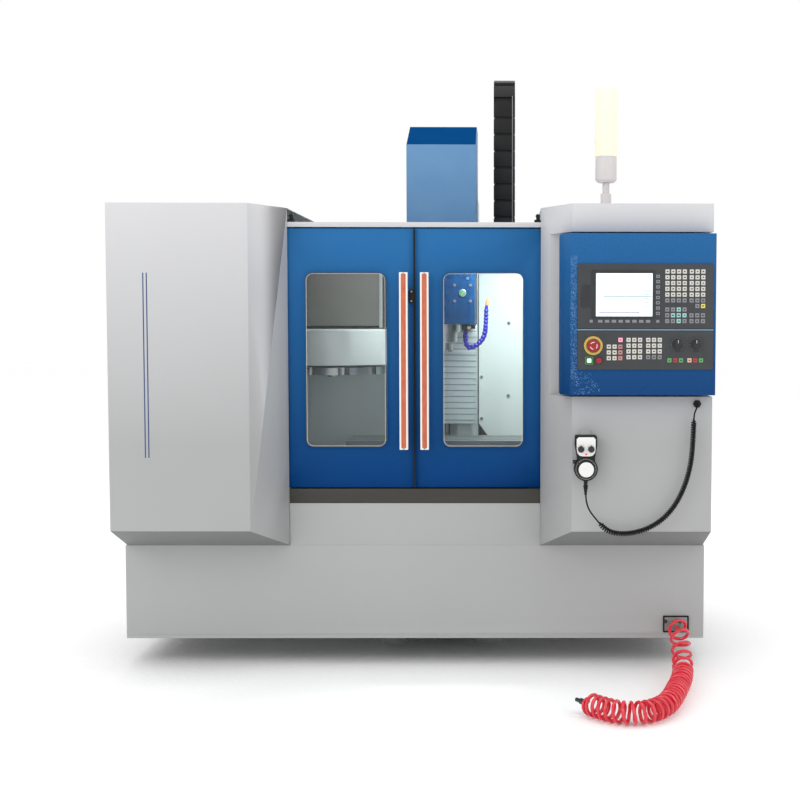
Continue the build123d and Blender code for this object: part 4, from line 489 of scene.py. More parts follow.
def rim(name, body, slot, finish, outer, inner, y0, y1, bevel):
    """A closed ring between two rounded rectangles, each given as x0, x1, z0, z1 and radius."""
    bm = bmesh.new()
    rows = [[bm.verts.new(Vector((x, y, z)) * MM) for x, z in rounded_outline(*outline)]
            for outline, y in ((outer, y0), (inner, y0), (inner, y1), (outer, y1))]
    for a, b in zip(rows, rows[1:] + rows[:1]):
        bridge(bm, a, b)
    return make_piece(name, bm, body, slot, finish, bevel)


# %% [markdown]
# Most large pieces are copies of the CAD meshes, which are exact but have knife edges. A copy is split
# into its loose parts, so that a test on a part's place and size can give screws or feet a finish of
# their own, and then its edges are broken as well.

# %% Copies of the CAD meshes
def box_of(node):
    """The low and high corner of a node's box, in mm."""
    return [Vector(corner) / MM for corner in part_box(node)]


def front_of(node):
    return box_of(node)[0].y


def loose_parts(bm):
    """The separate solids of a bmesh, as lists of faces."""
    left, groups = set(bm.faces), []
    while left:
        seed = left.pop()
        group, edge_of_search = [seed], [seed]
        while edge_of_search:
            for edge in edge_of_search.pop().edges:
                for near in left.intersection(edge.link_faces):
                    left.remove(near)
                    group.append(near)
                    edge_of_search.append(near)
        groups.append(group)
    return groups


def middle_of(faces):
    """The middle of some faces' box and its size, in millimetres."""
    corners = [v.co for face in faces for v in face.verts]
    low = Vector([min(c[k] for c in corners) for k in range(3)])
    high = Vector([max(c[k] for c in corners) for k in range(3)])
    return (low + high) / 2 / MM, (high - low) / MM


def copied(node):
    """A bmesh with a CAD node's mesh, its doubled vertices joined."""
    bm = bmesh.new()
    bm.from_mesh(nodes[node].data)
    bmesh.ops.remove_doubles(bm, verts=bm.verts, dist=1e-5)
    return bm


def softened(node, body, slot, material, bevel_mm=1.5, others=(), segments=2, by_face=(), merge=True):
    """A copy of a CAD node with its sharp edges broken, as folded sheet and castings have them.
    Others are pairs of a material and a test on a loose part's middle and size in millimetres."""
    bm = copied(node)
    if merge:
        bmesh.ops.dissolve_limit(bm, angle_limit=math.radians(0.5), verts=bm.verts, edges=bm.edges)
    for group in loose_parts(bm):
        middle, size = middle_of(group)
        for index, (_, test) in enumerate(others, start=1):
            if test(middle, size):
                for face in group:
                    face.material_index = index
    for index, (_, test) in enumerate(by_face, start=1 + len(others)):
        for face in bm.faces:
            if test(face.calc_center_median() / MM, face.normal):
                face.material_index = index
    extra = [finish for finish, _ in (*others, *by_face)]
    piece = make_piece(node + "_finish", bm, body, slot, material, bevel_mm, segments, extra=extra)
    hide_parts(node)
    return piece


def dress(finish, *names):
    """Gives CAD nodes that keep their own mesh a finish."""
    for name in names:
        for holder in nodes[name].material_slots:
            holder.material = finish
    print(finish.name, "on", *names)


# %% [markdown]
# The air hose is a polyurethane recoil hose: a tube wound into a spring. Its axis is the route of the
# CAD tube, as a NURBS spline, and the helix winds round the points of that spline. The first turns are
# pulled apart by the weight of the hose, and the rest lie close, so the angle of the helix grows slowly
# at first and then fast.

# %% Cord helpers
def route_points(name, points):
    """The points of an open NURBS spline through given places in mm, with the length up to each."""
    data = bpy.data.curves.new(name, "CURVE")
    data.dimensions = "3D"
    spline = data.splines.new("NURBS")
    spline.points.add(len(points) - 1)
    for point, place in zip(spline.points, points):
        point.co = (*(Vector(place) * MM), 1.0)
    spline.order_u = 3
    spline.use_endpoint_u = True
    spline.resolution_u = 16
    curve = placed(name, data)
    mesh = bpy.data.meshes.new_from_object(curve.evaluated_get(bpy.context.evaluated_depsgraph_get()))
    line = [v.co.copy() for v in mesh.vertices]
    bpy.data.objects.remove(curve)
    reach = [0.0]
    for a, b in zip(line, line[1:]):
        reach.append(reach[-1] + (b - a).length)
    return line, reach


def across_of(side, tangent):
    """The side vector squared to a new tangent, and the third direction."""
    side = (side - tangent * side.dot(tangent)).normalized()
    return side, tangent.cross(side)


def helix(line, reach, radius, turns_at, step_angle=0.3):
    """Winds a helix of a radius in mm about a line; turns_at gives the turns done at a share of it."""
    total = reach[-1]
    wound, k = [], 0
    side = (line[1] - line[0]).normalized().orthogonal().normalized()
    steps = int(turns_at(1.0) * 2 * math.pi / step_angle)
    last_share = 0.0
    for n in range(steps + 1):
        turns = turns_at(1.0) * n / steps
        low, high = last_share, 1.0
        for _ in range(24):
            share = (low + high) / 2
            low, high = (share, high) if turns_at(share) < turns else (low, share)
        last_share = low
        while k < len(line) - 2 and reach[k + 1] < share * total:
            k += 1
        span = max(reach[k + 1] - reach[k], 1e-9)
        spot = line[k].lerp(line[k + 1], min(1.0, (share * total - reach[k]) / span))
        side, across = across_of(side, (line[k + 1] - line[k]).normalized())
        spin = 2 * math.pi * turns
        ease = min(1.0, share / 0.02, (1 - share) / 0.02)
        wound.append(spot + (side * math.cos(spin) + across * math.sin(spin)) * radius * MM * ease)
    return wound


def path_length(points):
    return round(sum((b - a).length for a, b in zip(points, points[1:])), 2)


def cord_mesh(name, points, radius, material, slot, sides):
    """A round tube along a list of points, as a mesh with its ends closed."""
    bm = bmesh.new()
    side = (points[1] - points[0]).normalized().orthogonal().normalized()
    rings = []
    for k, spot in enumerate(points):
        ahead = points[min(k + 1, len(points) - 1)] - points[max(k - 1, 0)]
        side, across = across_of(side, ahead.normalized())
        angles = [2 * math.pi * n / sides for n in range(sides)]
        rings.append([bm.verts.new(spot + (side * math.cos(a) + across * math.sin(a)) * radius * MM)
                      for a in angles])
    skin(bm, rings)
    return make_piece(name, bm, "root", slot, material, smooth=True)


# %% Air hose
HOSE_ROUTE = [(864, -542, 138), (864, -594, 138), (868, -645, 68), (862, -720, 36), (848, -806, 36),
              (828, -890, 36), (806, -972, 36), (784, -1052, 36), (752, -1124, 36), (704, -1176, 36),
              (640, -1188, 36), (582, -1144, 36), (533, -1080, 36)]
HOSE_COIL, HOSE_RADIUS = 29.0, 5.4
LOOSE_TURNS, ALL_TURNS = 5, 32
LOOSE_SHARE, CLOSING_POWER = 0.22, 1.2


def hose_turns(share):
    """Few turns along the hanging stretch and many along the rest."""
    if share < LOOSE_SHARE:
        return LOOSE_TURNS * share / LOOSE_SHARE
    rest = (share - LOOSE_SHARE) / (1 - LOOSE_SHARE)
    return LOOSE_TURNS + (ALL_TURNS - LOOSE_TURNS) * rest ** CLOSING_POWER


hose_path = helix(*route_points("hose_route", HOSE_ROUTE), HOSE_COIL, hose_turns)
air_hose = cord_mesh("spiral_air_hose", hose_path, HOSE_RADIUS, coat.hose_red, "red_hose", sides=8)
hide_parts("air_hose")
print("air hose", path_length(hose_path), "m of tube in", ALL_TURNS, "turns")

# %% [markdown]
# The pendant's lead is straight for a hand's length, winds into a curly lead and is straight again
# before its gland. All three are one cable, so the helix starts and ends on the axis.

# %% Pendant lead
CORD_Y = -729
ROUTES = {
    "lead_route": [(550, 625), (550, 598), (553, 572), (562, 548), (576, 529), (592, 510)],
    "curl_route": [(592, 510), (612, 486.25), (650, 474), (698, 476), (748, 491), (796, 522), (833, 567),
                   (860, 622), (877, 682), (885, 744), (888, 836)]}
TAIL_ROUTE = [(888, CORD_Y, 836), (889, CORD_Y, 854), (897, CORD_Y + 3, 870), (902, CORD_Y + 10, 882),
              (902, CORD_Y + 20, 882)]
LEAD_RADIUS, CURL_COIL, CURL_TURNS = 2.6, 6.6, 74
lead, curl = (route_points(name, [(x, CORD_Y, z) for x, z in places]) for name, places in ROUTES.items())
tail = route_points("tail_route", TAIL_ROUTE)
curl_path = helix(*curl, CURL_COIL, lambda share: CURL_TURNS * share, step_angle=0.5)
lead_path = lead[0] + curl_path[1:-1] + tail[0]
pendant_lead = cord_mesh("pendant_curly_lead", lead_path, LEAD_RADIUS, coat.rubber, "black_plastic", sides=7)
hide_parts("pendant_cord", "pendant_curl")
print("pendant lead", path_length(lead_path), "m")

# %% [markdown]
# Screws, tick marks, key legends, beads and louvres repeat one small shape on many places, so each is a
# Geometry Nodes tree: a named input for every size, the small shape built once and put on the points of
# the object's own mesh. The instances are made real and given their finish at the end of the tree, and
# the result becomes a plain mesh.

# %% Geometry Nodes helpers
def new_tree(name, **inputs):
    """An empty tree with a geometry input and named inputs for its sizes."""
    tree = bpy.data.node_groups.new(name, "GeometryNodeTree")
    for label, kind in {"Places": "Geometry", **inputs}.items():
        tree.interface.new_socket(label.replace("_", " "), in_out="INPUT", socket_type="NodeSocket" + kind)
    tree.interface.new_socket("Geometry", in_out="OUTPUT", socket_type="NodeSocketGeometry")
    start = add_node(tree, "NodeGroupInput")
    return tree, {socket.name: socket for socket in start.outputs if socket.name}


def finished(tree, shape, finish, other=None, chosen=None):
    """Ends a tree: makes the copies real and gives them their finish, or another on chosen faces."""
    real = add_node(tree, "GeometryNodeRealizeInstances", {"Geometry": shape})
    coated = add_node(tree, "GeometryNodeSetMaterial", {"Geometry": real, "Material": finish})
    if other:
        coated = add_node(tree, "GeometryNodeSetMaterial",
                          {"Geometry": coated, "Material": other, "Selection": chosen})
    add_node(tree, "NodeGroupOutput", {"Geometry": coated})
    print("tree", tree.name, "with", len(tree.nodes), "nodes")
    return tree


def grown(name, tree, values, places, body, faces=()):
    """A piece grown by a tree on some places or faces in mm, turned into a plain mesh."""
    mesh = bpy.data.meshes.new(name)
    mesh.from_pydata([tuple(Vector(p) * MM) for p in places], [], list(faces))
    piece = placed(name, mesh)
    modifier = piece.modifiers.new("grown", "NODES")
    modifier.node_group = tree
    for item in tree.interface.items_tree:
        if item.in_out == "INPUT" and item.name in values:
            modifier[item.identifier] = values[item.name]
    plain(piece)
    return rides(piece, body)


# %% [markdown]
# A pan head screw is a short drum, and its hexagonal recess is painted shade: a thin dark drum of its
# own that stands a tenth of a millimetre proud, marked by an attribute so that Set Material can find it.

# %% Screw tree
TO_FRONT = (math.radians(90), 0.0, 0.0)
TO_REAR = (math.radians(-90), 0.0, 0.0)


def screw_tree(name, head_finish, painted_recess_shade):
    tree, given = new_tree(name, Head_radius="Float", Head_height="Float", Facing="Vector")
    both = add_node(tree, "GeometryNodeJoinGeometry")
    for is_recess, sides, share, rise in ((False, 16, 1.0, 0.0), (True, 6, 0.5, 0.0001)):
        radius = add_node(tree, "ShaderNodeMath", {0: given["Head radius"], 1: share}, operation="MULTIPLY")
        tall = add_node(tree, "ShaderNodeMath", {0: given["Head height"], 1: rise}, operation="ADD")
        drum = add_node(tree, "GeometryNodeMeshCylinder",
                        {"Vertices": sides, "Radius": radius, "Depth": tall})
        half = add_node(tree, "ShaderNodeMath", {0: tall, 1: 0.5}, operation="MULTIPLY")
        lift = add_node(tree, "ShaderNodeCombineXYZ", {"Z": half})
        raised = add_node(tree, "GeometryNodeTransform", {"Geometry": drum, "Translation": lift})
        marked = add_node(tree, "GeometryNodeStoreNamedAttribute",
                          {"Geometry": raised, "Name": "recess", "Value": is_recess},
                          data_type="BOOLEAN", domain="FACE")
        tree.links.new(marked.outputs[0], both.inputs[0])
    mark = add_node(tree, "GeometryNodeInputNamedAttribute", {"Name": "recess"}, data_type="BOOLEAN")
    stood = add_node(tree, "GeometryNodeInstanceOnPoints",
                     {"Points": given["Places"], "Instance": both, "Rotation": given["Facing"]})
    return finished(tree, stood, head_finish, painted_recess_shade, mark.outputs["Attribute"])


# The recess is given black nylon as painted shade.
steel_screw = screw_tree("pan_head_screw", coat.zinc_steel, coat.black_nylon)


def screws(name, places, body, radius, height, facing_to=TO_FRONT):
    return grown(name, steel_screw,
                 {"Head radius": radius * MM, "Head height": height * MM, "Facing": facing_to},
                 places, body)


# %% [markdown]
# Printed marks are thin bars of film. One tree lays a bar of a given size on each place, a little
# longer or shorter by a fixed seed, for the legends on keys and for the lines on the display. Another
# lays bars round a dial, from the count and the sweep, as the scale of a rotary switch has them.

# %% Mark trees
FILM = 0.0003


def mark_tree(name, finish):
    tree, given = new_tree(name, Mark_length="Float", Mark_height="Float", Uneven="Float", Seed="Int")
    size = add_node(tree, "ShaderNodeCombineXYZ",
                    {"X": given["Mark length"], "Y": FILM, "Z": given["Mark height"]})
    mark = add_node(tree, "GeometryNodeMeshCube", {"Size": size})
    shortest = add_node(tree, "ShaderNodeMath", {0: 1.0, 1: given["Uneven"]}, operation="SUBTRACT")
    length = add_node(tree, "FunctionNodeRandomValue", {2: shortest, 3: 1.0, "Seed": given["Seed"]},
                      data_type="FLOAT")
    scale = add_node(tree, "ShaderNodeCombineXYZ", {"X": length.outputs[1], "Y": 1.0, "Z": 1.0})
    laid = add_node(tree, "GeometryNodeInstanceOnPoints",
                    {"Points": given["Places"], "Instance": mark, "Scale": scale})
    return finished(tree, laid, finish)


def scale_tree(name, finish):
    tree, given = new_tree(name, Count="Int", Ring_radius="Float", Tick_length="Float", Tick_width="Float",
                           Sweep="Float")
    row = add_node(tree, "GeometryNodeMeshLine", {"Offset": (0, 0, 0), "Count": given["Count"]})
    index = add_node(tree, "GeometryNodeInputIndex")
    last = add_node(tree, "ShaderNodeMath", {0: given["Count"], 1: 1.0}, operation="SUBTRACT")
    share = add_node(tree, "ShaderNodeMath", {0: index, 1: last}, operation="DIVIDE")
    middle = add_node(tree, "ShaderNodeMath", {0: share, 1: 0.5}, operation="SUBTRACT")
    angle = add_node(tree, "ShaderNodeMath", {0: middle, 1: given["Sweep"]}, operation="MULTIPLY")
    turn = add_node(tree, "ShaderNodeCombineXYZ", {"Y": angle})
    size = add_node(tree, "ShaderNodeCombineXYZ",
                    {"X": given["Tick width"], "Y": FILM, "Z": given["Tick length"]})
    tick = add_node(tree, "GeometryNodeMeshCube", {"Size": size})
    reach = add_node(tree, "ShaderNodeCombineXYZ", {"Z": given["Ring radius"]})
    raised = add_node(tree, "GeometryNodeTransform", {"Geometry": tick, "Translation": reach})
    ring = add_node(tree, "GeometryNodeInstanceOnPoints",
                    {"Points": row, "Instance": raised, "Rotation": turn})
    laid = add_node(tree, "GeometryNodeInstanceOnPoints", {"Points": given["Places"], "Instance": ring})
    return finished(tree, laid, finish)


# %% [markdown]
# A bead tree puts a ball on each place, for the segmented coolant hose. A speckle tree scatters small
# flat discs over a face, each turned to face outwards, for painted glints on the hammered coat.

# %% Bead and speckle trees
def bead_tree(name, finish):
    tree, given = new_tree(name, Bead_radius="Float", Bead_sides="Int")
    bead = add_node(tree, "GeometryNodeMeshUVSphere",
                    {"Rings": 8, "Radius": given["Bead radius"], "Segments": given["Bead sides"]})
    smooth = add_node(tree, "GeometryNodeSetShadeSmooth", {"Geometry": bead})
    laid = add_node(tree, "GeometryNodeInstanceOnPoints", {"Points": given["Places"], "Instance": smooth})
    return finished(tree, laid, finish)


def speckle_tree(name, finish):
    tree, given = new_tree(name, Density="Float", Speck_radius="Float", Seed="Int")
    spread = add_node(tree, "GeometryNodeDistributePointsOnFaces",
                      {"Mesh": given["Places"], "Density": given["Density"], "Seed": given["Seed"]})
    speck = add_node(tree, "GeometryNodeMeshCircle", {"Vertices": 7, "Radius": given["Speck radius"]},
                     fill_type="NGON")
    size = add_node(tree, "FunctionNodeRandomValue", {2: 0.3, 3: 1.0}, data_type="FLOAT")
    laid = add_node(tree, "GeometryNodeInstanceOnPoints",
                    {"Points": spread.outputs["Points"], "Instance": speck, "Scale": size.outputs[1],
                     "Rotation": spread.outputs["Rotation"]})
    return finished(tree, laid, finish)


def marks(name, tree, length, height, uneven, seed, places, body, slot):
    values = {"Mark length": length, "Mark height": height, "Uneven": uneven, "Seed": seed}
    return grown(name, tree, values, places, body)


def dial_scale(name, tree, count, radius, length, width, degrees, places, body, slot):
    values = {"Count": count, "Ring radius": radius, "Tick length": length, "Tick width": width,
              "Sweep": math.radians(degrees)}
    return grown(name, tree, values, places, body)


# %% [markdown]
# The enclosure is folded and welded sheet steel, powder coated. The CAD meshes have knife edges,
# which no folded sheet has, so each is copied, its flat faces are merged and its edges are broken.
# The two cabinets keep their triangles, because ring-shaped faces don't merge well, and the faces that
# slope down to the floor get a darker copy of the grey as painted shade.

# %% Enclosure
# Painted shade: faces that look down, below 500 mm, get the darker grey.
under = [(coat.powder_under, lambda spot, normal: normal.z < -0.3 and spot.z < 500)]
for node, slot, finish, bevel in (("base_skirt", "grey_paint", coat.powder_grey, 2.0),
                                  ("door_sill", "sill_steel", coat.brushed_sill, 1.0),
                                  ("door_rail", "grey_paint", coat.powder_grey, 0.6),
                                  ("lamp_stand", "lamp_grey", coat.lamp_grey, 1.5),
                                  ("lamp_lens", "lamp_lens", coat.lamp_glow, 2.0),
                                  ("rear_walls", "white_wall", coat.white_wall, 0.8)):
    softened(node, "root", slot, finish, bevel)
softened("left_cabinet", "root", "grey_paint", coat.powder_grey, 2.5, merge=False, by_face=under)
softened("right_cabinet", "root", "grey_paint", coat.powder_grey, 2.5, merge=False,
         others=[(coat.zinc_steel, lambda middle, size: size.z < 200)], by_face=under)
softened("electrical_cabinet", "root", "grey_paint", coat.powder_grey, 1.5,
         others=[(coat.zinc_steel, lambda middle, size: size.z < 130 and middle.x < -590),
                 (coat.black_nylon, lambda middle, size: size.z < 400 and middle.y > 600 and size.x < 300)])
softened("electrical_door", "electrical_door", "grey_paint", coat.powder_grey, 2.0,
         others=[(coat.black_nylon, lambda middle, size: size.z < 150 and middle.x > 400)])

# %% [markdown]
# A brush strip hangs behind the rail and closes the gap over the doors, and a black stop stands at
# each end of the doors' way.

# %% Rail brush and stops
BLACK = "root", "black_plastic"
bars("rail_brush", *BLACK, coat.rubber, (-440, 440, -470, -466, 1439, 1450), bevel=0.5)
bm = bmesh.new()
for side in (-1, 1):
    x0, x1 = sorted((side * 392, side * 414))
    slab(bm, x0, x1, -500, -472, 1462.5, 1472)
    slab(bm, x0 + 6, x1 - 4, -496, -478, 1471, 1488)
    turned(bm, [(0, 0), (7, 0), (7, 9), (0, 9)], facing(side * 403, -494, 1484, (0, 1, 0)), steps=16)
make_piece("rail_stops", bm, *BLACK, coat.black_nylon, 0.8)

# %% [markdown]
# The left cabinet carries two thin foil stripes, cut from blue film and laid on the paint.

# %% Cabinet stripes
CABINET_FACE = front_of("left_cabinet")
STRIPES_X, STRIPE_WIDTH = (-837.0, -826.0), 3.4
STRIPE_LOW, STRIPE_HIGH = 710.0, 1291.0
bars("cabinet_stripes", "root", "blue_paint", coat.stripe_blue,
     *[(x, x + STRIPE_WIDTH, CABINET_FACE - 0.4, CABINET_FACE + 0.5, STRIPE_LOW, STRIPE_HIGH)
       for x in STRIPES_X])

# %% [markdown]
# The doors have the same blue hammered coat as the control box. Each window has a thin seal round its
# cut-out, and inside it the polycarbonate's cut edge, drawn as an opaque white ring whose brightness is a
# painted highlight. The pull handles are white bars with an orange strip let into their face.

# %% Doors
WINDOW = (92.0, 357.0, 727.0, 1299.0, 25.0)
DOOR_FACE = front_of("left_door")


def window_rim(name, body, side, grow, width, y0, y1, slot, finish):
    """A rim round a door's window, grown outwards by a margin; y counts from the door's face."""
    x0, x1, z0, z1, radius = WINDOW
    outer, inner = ((*sorted((side * (x0 - m), side * (x1 + m))), z0 - m, z1 + m, radius + m)
                    for m in (grow, grow - width))
    return rim(name, body, slot, finish, outer, inner, DOOR_FACE + y0, DOOR_FACE + y1, 0.5)


for side, body in ((-1, "left_door"), (1, "right_door")):
    softened(body, body, "blue_paint", coat.hammered_blue, 1.5,
             others=[(coat.black_nylon, lambda middle, size: size.x < 100)])
    window_rim(body + "_seal", body, side, 0.0, 2.2, -0.6, 4.2, "black_plastic", coat.seal_grey)
    # Painted highlight: the pane's cut edge as a white ring.
    window_rim(body + "_pane_edge_highlight", body, side, -3.2, 1.4, 2.2, 3.9, "window_glass", coat.mark_white)
    handle = body.replace("door", "handle")
    softened(handle, body, "handle_plastic", coat.handle_white, 2.5, segments=3)
    low, high = box_of(handle)
    x = (low.x + high.x) / 2
    bars(body + "_handle_strip", body, "handle_plastic", coat.handle_orange,
         (x - 8, x + 8, low.y - 0.6, low.y + 1.0, low.z + 6, high.z - 6), bevel=0.4)
    screws(body + "_handle_screws", [(x, low.y, z) for z in (low.z + 3.2, high.z - 3.2)], body, 2.2, 0.7)
dress(coat.pane_clear, "left_window", "right_window")
bars("door_seam_seal", "left_door", "black_plastic", coat.rubber,
     (-2.6, 2.6, DOOR_FACE + 1.5, DOOR_FACE + 9, 594, 1441))
screws("door_lock_screws", [(-9.5, -514, z) for z in (1206, 1237)], "left_door", 2.6, 1.2)

# %% [markdown]
# The head cover is one folded lid: a pale glossy front below a sloping top, whose upward faces get a
# darker, matt copy of its blue as painted shade. The cable chain and the telescopic way cover are fixed
# at one end and carried at the other, so neither is put on a body, nor are the painted shadow lines
# under the lips of the cover's slats.

# %% Head cover and chain
# Painted shade: the top's upward faces get the darker blue.
softened("head_cover", "head", "blue_paint", coat.cover_blue, 2.0,
         by_face=[(coat.cover_top_blue, lambda spot, normal: spot.z > 1755 and normal.z > 0.2)])
chain = softened("cable_chain", None, "black_plastic", coat.black_nylon, 2.0)
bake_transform(chain)
bars("chain_side_line", "head", "black_plastic", coat.key_grey,
     (320, 323, 48.4, 50.4, 1475, 1960), bevel=0.4)
SLATS, SLAT_PITCH = 17, 22.5
way_cover = softened("z_way_cover", None, "machined_steel", coat.slat_steel, 0.6)
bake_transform(way_cover)
# Painted shadow: a darker grey bar under each slat's lip.
slat_shadow_bars = marks("way_cover_painted_shadows", mark_tree("painted_slat_shadows", coat.slat_edge), 0.232, 0.0024, 0.0, 1,
                   [(70, 192.9, 764 + SLAT_PITCH * k) for k in range(SLATS)], None, "machined_steel")
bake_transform(slat_shadow_bars)

# %% [markdown]
# The control box is a bevelled blue shell. Painted glints of the hammered coat, pale blue specks, are
# scattered over two flat areas by its left edge, a little before the sheet.

# %% Control box
PANEL = "control_box", "panel_plastic"
KEYS = "control_box", "key_plastic"
BOX_FACE = front_of("control_box") - 0.15
painted_glint_speckle = speckle_tree("painted_glint_speckle", coat.hammer_glint)
# Painted glints: pale blue specks scattered by the box's left edge and lower left corner.
for name, density, corners in (
        ("painted_glints_left", 95000.0, ((500, 960), (519.5, 960), (519.5, 1345), (500, 1345))),
        ("painted_glints_low", 26000.0, ((502, 914), (600, 914), (560, 984), (502, 984)))):
    grown(name, painted_glint_speckle, {"Density": density, "Speck radius": 0.0015, "Seed": 3},
          [(x, BOX_FACE, z) for x, z in corners], "control_box", faces=[(0, 1, 2, 3)])
softened("control_box", "control_box", "blue_paint", coat.box_blue, 2.0)

# %% [markdown]
# Two foil panels lie on the box. The upper one holds a display, which is lit, and the lower one the
# stop button in its yellow collar.

# %% Panels
panel_low, panel_high = box_of("upper_panel")
PANEL_LEFT, PANEL_FACE = panel_low.x, panel_low.y
UP, DOWN = panel_high.z, box_of("lower_panel")[1].z
KEY_STEP = 17.8
softened("upper_panel", *PANEL, coat.panel_foil, 0.8,
         others=[(coat.screen_light, lambda middle, size: size.x < 200)])
softened("lower_panel", *PANEL, coat.panel_foil, 0.8,
         others=[(coat.stop_yellow, lambda middle, size: size.x < 100)])
print("upper panel from", round(PANEL_LEFT), "wide", round(panel_high.x - panel_low.x))

# %% [markdown]
# The membrane keys come in several colours. Each key's colour is found from its place on the panel,
# counted in key steps from the panel's top left corner, so the list below reads as the panel does.

# %% Keys
def in_block(right, down, columns, rows, top, only=None):
    """A test for the keys of a block that starts at (right, down) from a panel's top left corner, or
    for some of its (column, row) places."""
    def test(middle, size):
        across, below = middle.x - PANEL_LEFT - right, top - middle.z - down
        column, row = round(across / KEY_STEP), round(below / KEY_STEP)
        near = abs(across - column * KEY_STEP) < 2 and abs(below - row * KEY_STEP) < 2
        inside = near and 0 <= column < columns and 0 <= row < rows
        return inside and (only is None or (column, row) in only)
    return test


def whole_row(row):
    return {(column, row) for column in range(4)}


KEY_BLOCKS = [
    (coat.key_grey, 277, 23, 4, 6, UP, whole_row(5)),
    (coat.key_grey, 352, 23, 3, 6, UP, whole_row(5)),
    (coat.key_grey, 277, 140, 4, 3, UP),
    (coat.key_teal, 277, 140, 4, 3, UP, {(2, 0), (1, 1), (2, 1), (3, 1), (2, 2)}),
    (coat.key_grey, 352, 158, 3, 2, UP),
    (coat.key_grey, 370, 129, 1, 1, UP),
    (coat.key_yellow, 387.8, 129, 1, 1, UP),
    (coat.key_lit, 133, 28, 1, 1, DOWN),
    (coat.key_rose, 97, 49, 3, 3, DOWN, {(2, 0), (2, 1), (2, 2)}),
    (coat.key_grey, 219, 28, 3, 4, DOWN, whole_row(3)),
    (coat.key_green, 285, 91, 3, 1, DOWN, {(0, 0), (2, 0)}),
    (coat.key_red, 285, 91, 3, 1, DOWN, {(1, 0)}),
    (coat.key_peach, 347, 91, 3, 1, DOWN, {(0, 0)}),
    (coat.key_red, 347, 91, 3, 1, DOWN, {(1, 0)}),
    (coat.key_green, 347, 91, 3, 1, DOWN, {(2, 0)})]
soft_keys = (coat.key_grey, lambda middle, size: middle.z > DOWN + 2 and middle.x < PANEL_LEFT + 260)
softened("keys", *KEYS, coat.key_cream, 0.8,
         others=[soft_keys, *((finish, in_block(*block)) for finish, *block in KEY_BLOCKS)])

# %% [markdown]
# The keys have one small dark legend each, as a generic mark and not a letter. The place of each key is
# read from the CAD mesh, and its legend lies on its front.

# %% Key legends
key_faces = []
bm = copied("keys")
for group in loose_parts(bm):
    middle, size = middle_of(group)
    if size.x < 13.5:
        key_faces.append((middle.x, middle.y - size.y / 2 - 0.05, middle.z))
    elif middle.z > DOWN:
        soft_y, soft_z = middle.y - size.y / 2, middle.z
bm.free()
key_faces.sort()    # the legends' lengths are drawn in this order
bars("soft_key_ends", *KEYS, coat.key_grey,
     *[(x - 5, x + 5, soft_y, PANEL_FACE + 0.5, soft_z - 4.5, soft_z + 4.5) for x in (563, 769)], bevel=0.8)
marks("key_legends", mark_tree("dark_key_legends", coat.bezel_foil), 0.0068, 0.0034, 0.5, 4, key_faces,
      *KEYS)
print("keys with a legend", len(key_faces))

# %% [markdown]
# The display has a raised dark frame and faint coloured lines of text that can't be read. A black cover
# hides the card slot beside it, and a pale foil strip parts the two panels.

# %% Display
x0, x1, z0, z1 = PANEL_LEFT + 56, PANEL_LEFT + 232, UP - 162, UP - 28
rim("display_frame", *PANEL, coat.bezel_foil, (x0 - 13, x1 + 7, z0 - 7, z1 + 9, 5),
    (x0 + 0.5, x1 - 0.5, z0 + 0.5, z1 - 0.5, 1.5), PANEL_FACE - 1.6, PANEL_FACE + 0.6, 0.6)
bars("card_cover", *PANEL, coat.bezel_foil,
     (PANEL_LEFT + 10, PANEL_LEFT + 47, PANEL_FACE - 2.0, PANEL_FACE + 0.5, UP - 133, UP - 66), bevel=1.0)
bars("panel_split_line", *PANEL, coat.split_foil,
     (PANEL_LEFT, panel_high.x, PANEL_FACE - 0.2, panel_high.y - 0.2, DOWN + 1.6, panel_low.z - 1.6),
     bevel=0.3)
LINE_Y = PANEL_FACE + 0.4
random.seed(12)
text_rows = [(x1 - 17 - random.uniform(0, 4), LINE_Y + 0.1, z1 - 18 - 12.0 * k) for k in range(9)]
marks("display_lines", mark_tree("faint_display_lines", coat.faint_line), 0.026, 0.0017, 0.5, 9, text_rows,
      *PANEL)
for name, finish, length, shift, z in (("display_teal_line", coat.teal_line, 0.148, 9, z1 - 71.5),
                                       ("display_violet_line", coat.violet_line, 0.126, -15, z0 + 13)):
    marks(name, mark_tree(name + "_tree", finish), length, 0.0022, 0.0, 1,
          [((x0 + x1) / 2 + shift, LINE_Y, z)], *PANEL)
print("lines on the display", len(text_rows) + 2)

# %% [markdown]
# The stop button is a red mushroom, and the start button a lit lens in a green bezel. The rear of its
# cap and of the halt cap is moved 0.2 mm to the front, so that they stay clear of the box when they are
# pressed.

# %% Buttons
softened("stop_button", "stop_button", "red_plastic", coat.stop_red, 0.6, segments=3)
for button, slot, finish in (("start_button", "green_plastic", coat.start_green),
                             ("halt_button", "red_plastic", coat.stop_red)):
    cap = softened(button, button, slot, finish, 0.6)
    for vertex in cap.data.vertices:
        if vertex.co.y > (PANEL_FACE + 2.2) * MM:
            vertex.co.y -= 0.2 * MM
low, high = box_of("start_button")
x, z = (low.x + high.x) / 2, (low.z + high.z) / 2
bars("start_button_lens", "start_button", "green_plastic", coat.start_lens,
     (low.x + 2.6, high.x - 2.6, low.y - 0.4, low.y + 0.6, low.z + 2.6, high.z - 2.6), bevel=0.4)
rim("start_button_bezel", "control_box", "green_plastic", coat.start_green,
    (x - 12, x + 12, z - 12, z + 12, 2.5), (x - 9.6, x + 9.6, z - 9.6, z + 9.6, 2.0),
    PANEL_FACE - 1.2, PANEL_FACE + 0.4, 0.3)


# %% [markdown]
# Three white arcs on the stop button show which way it turns to reset, and a dark ring round its collar
# is painted shade for a groove. Each is a flat bar bent round the button's middle.

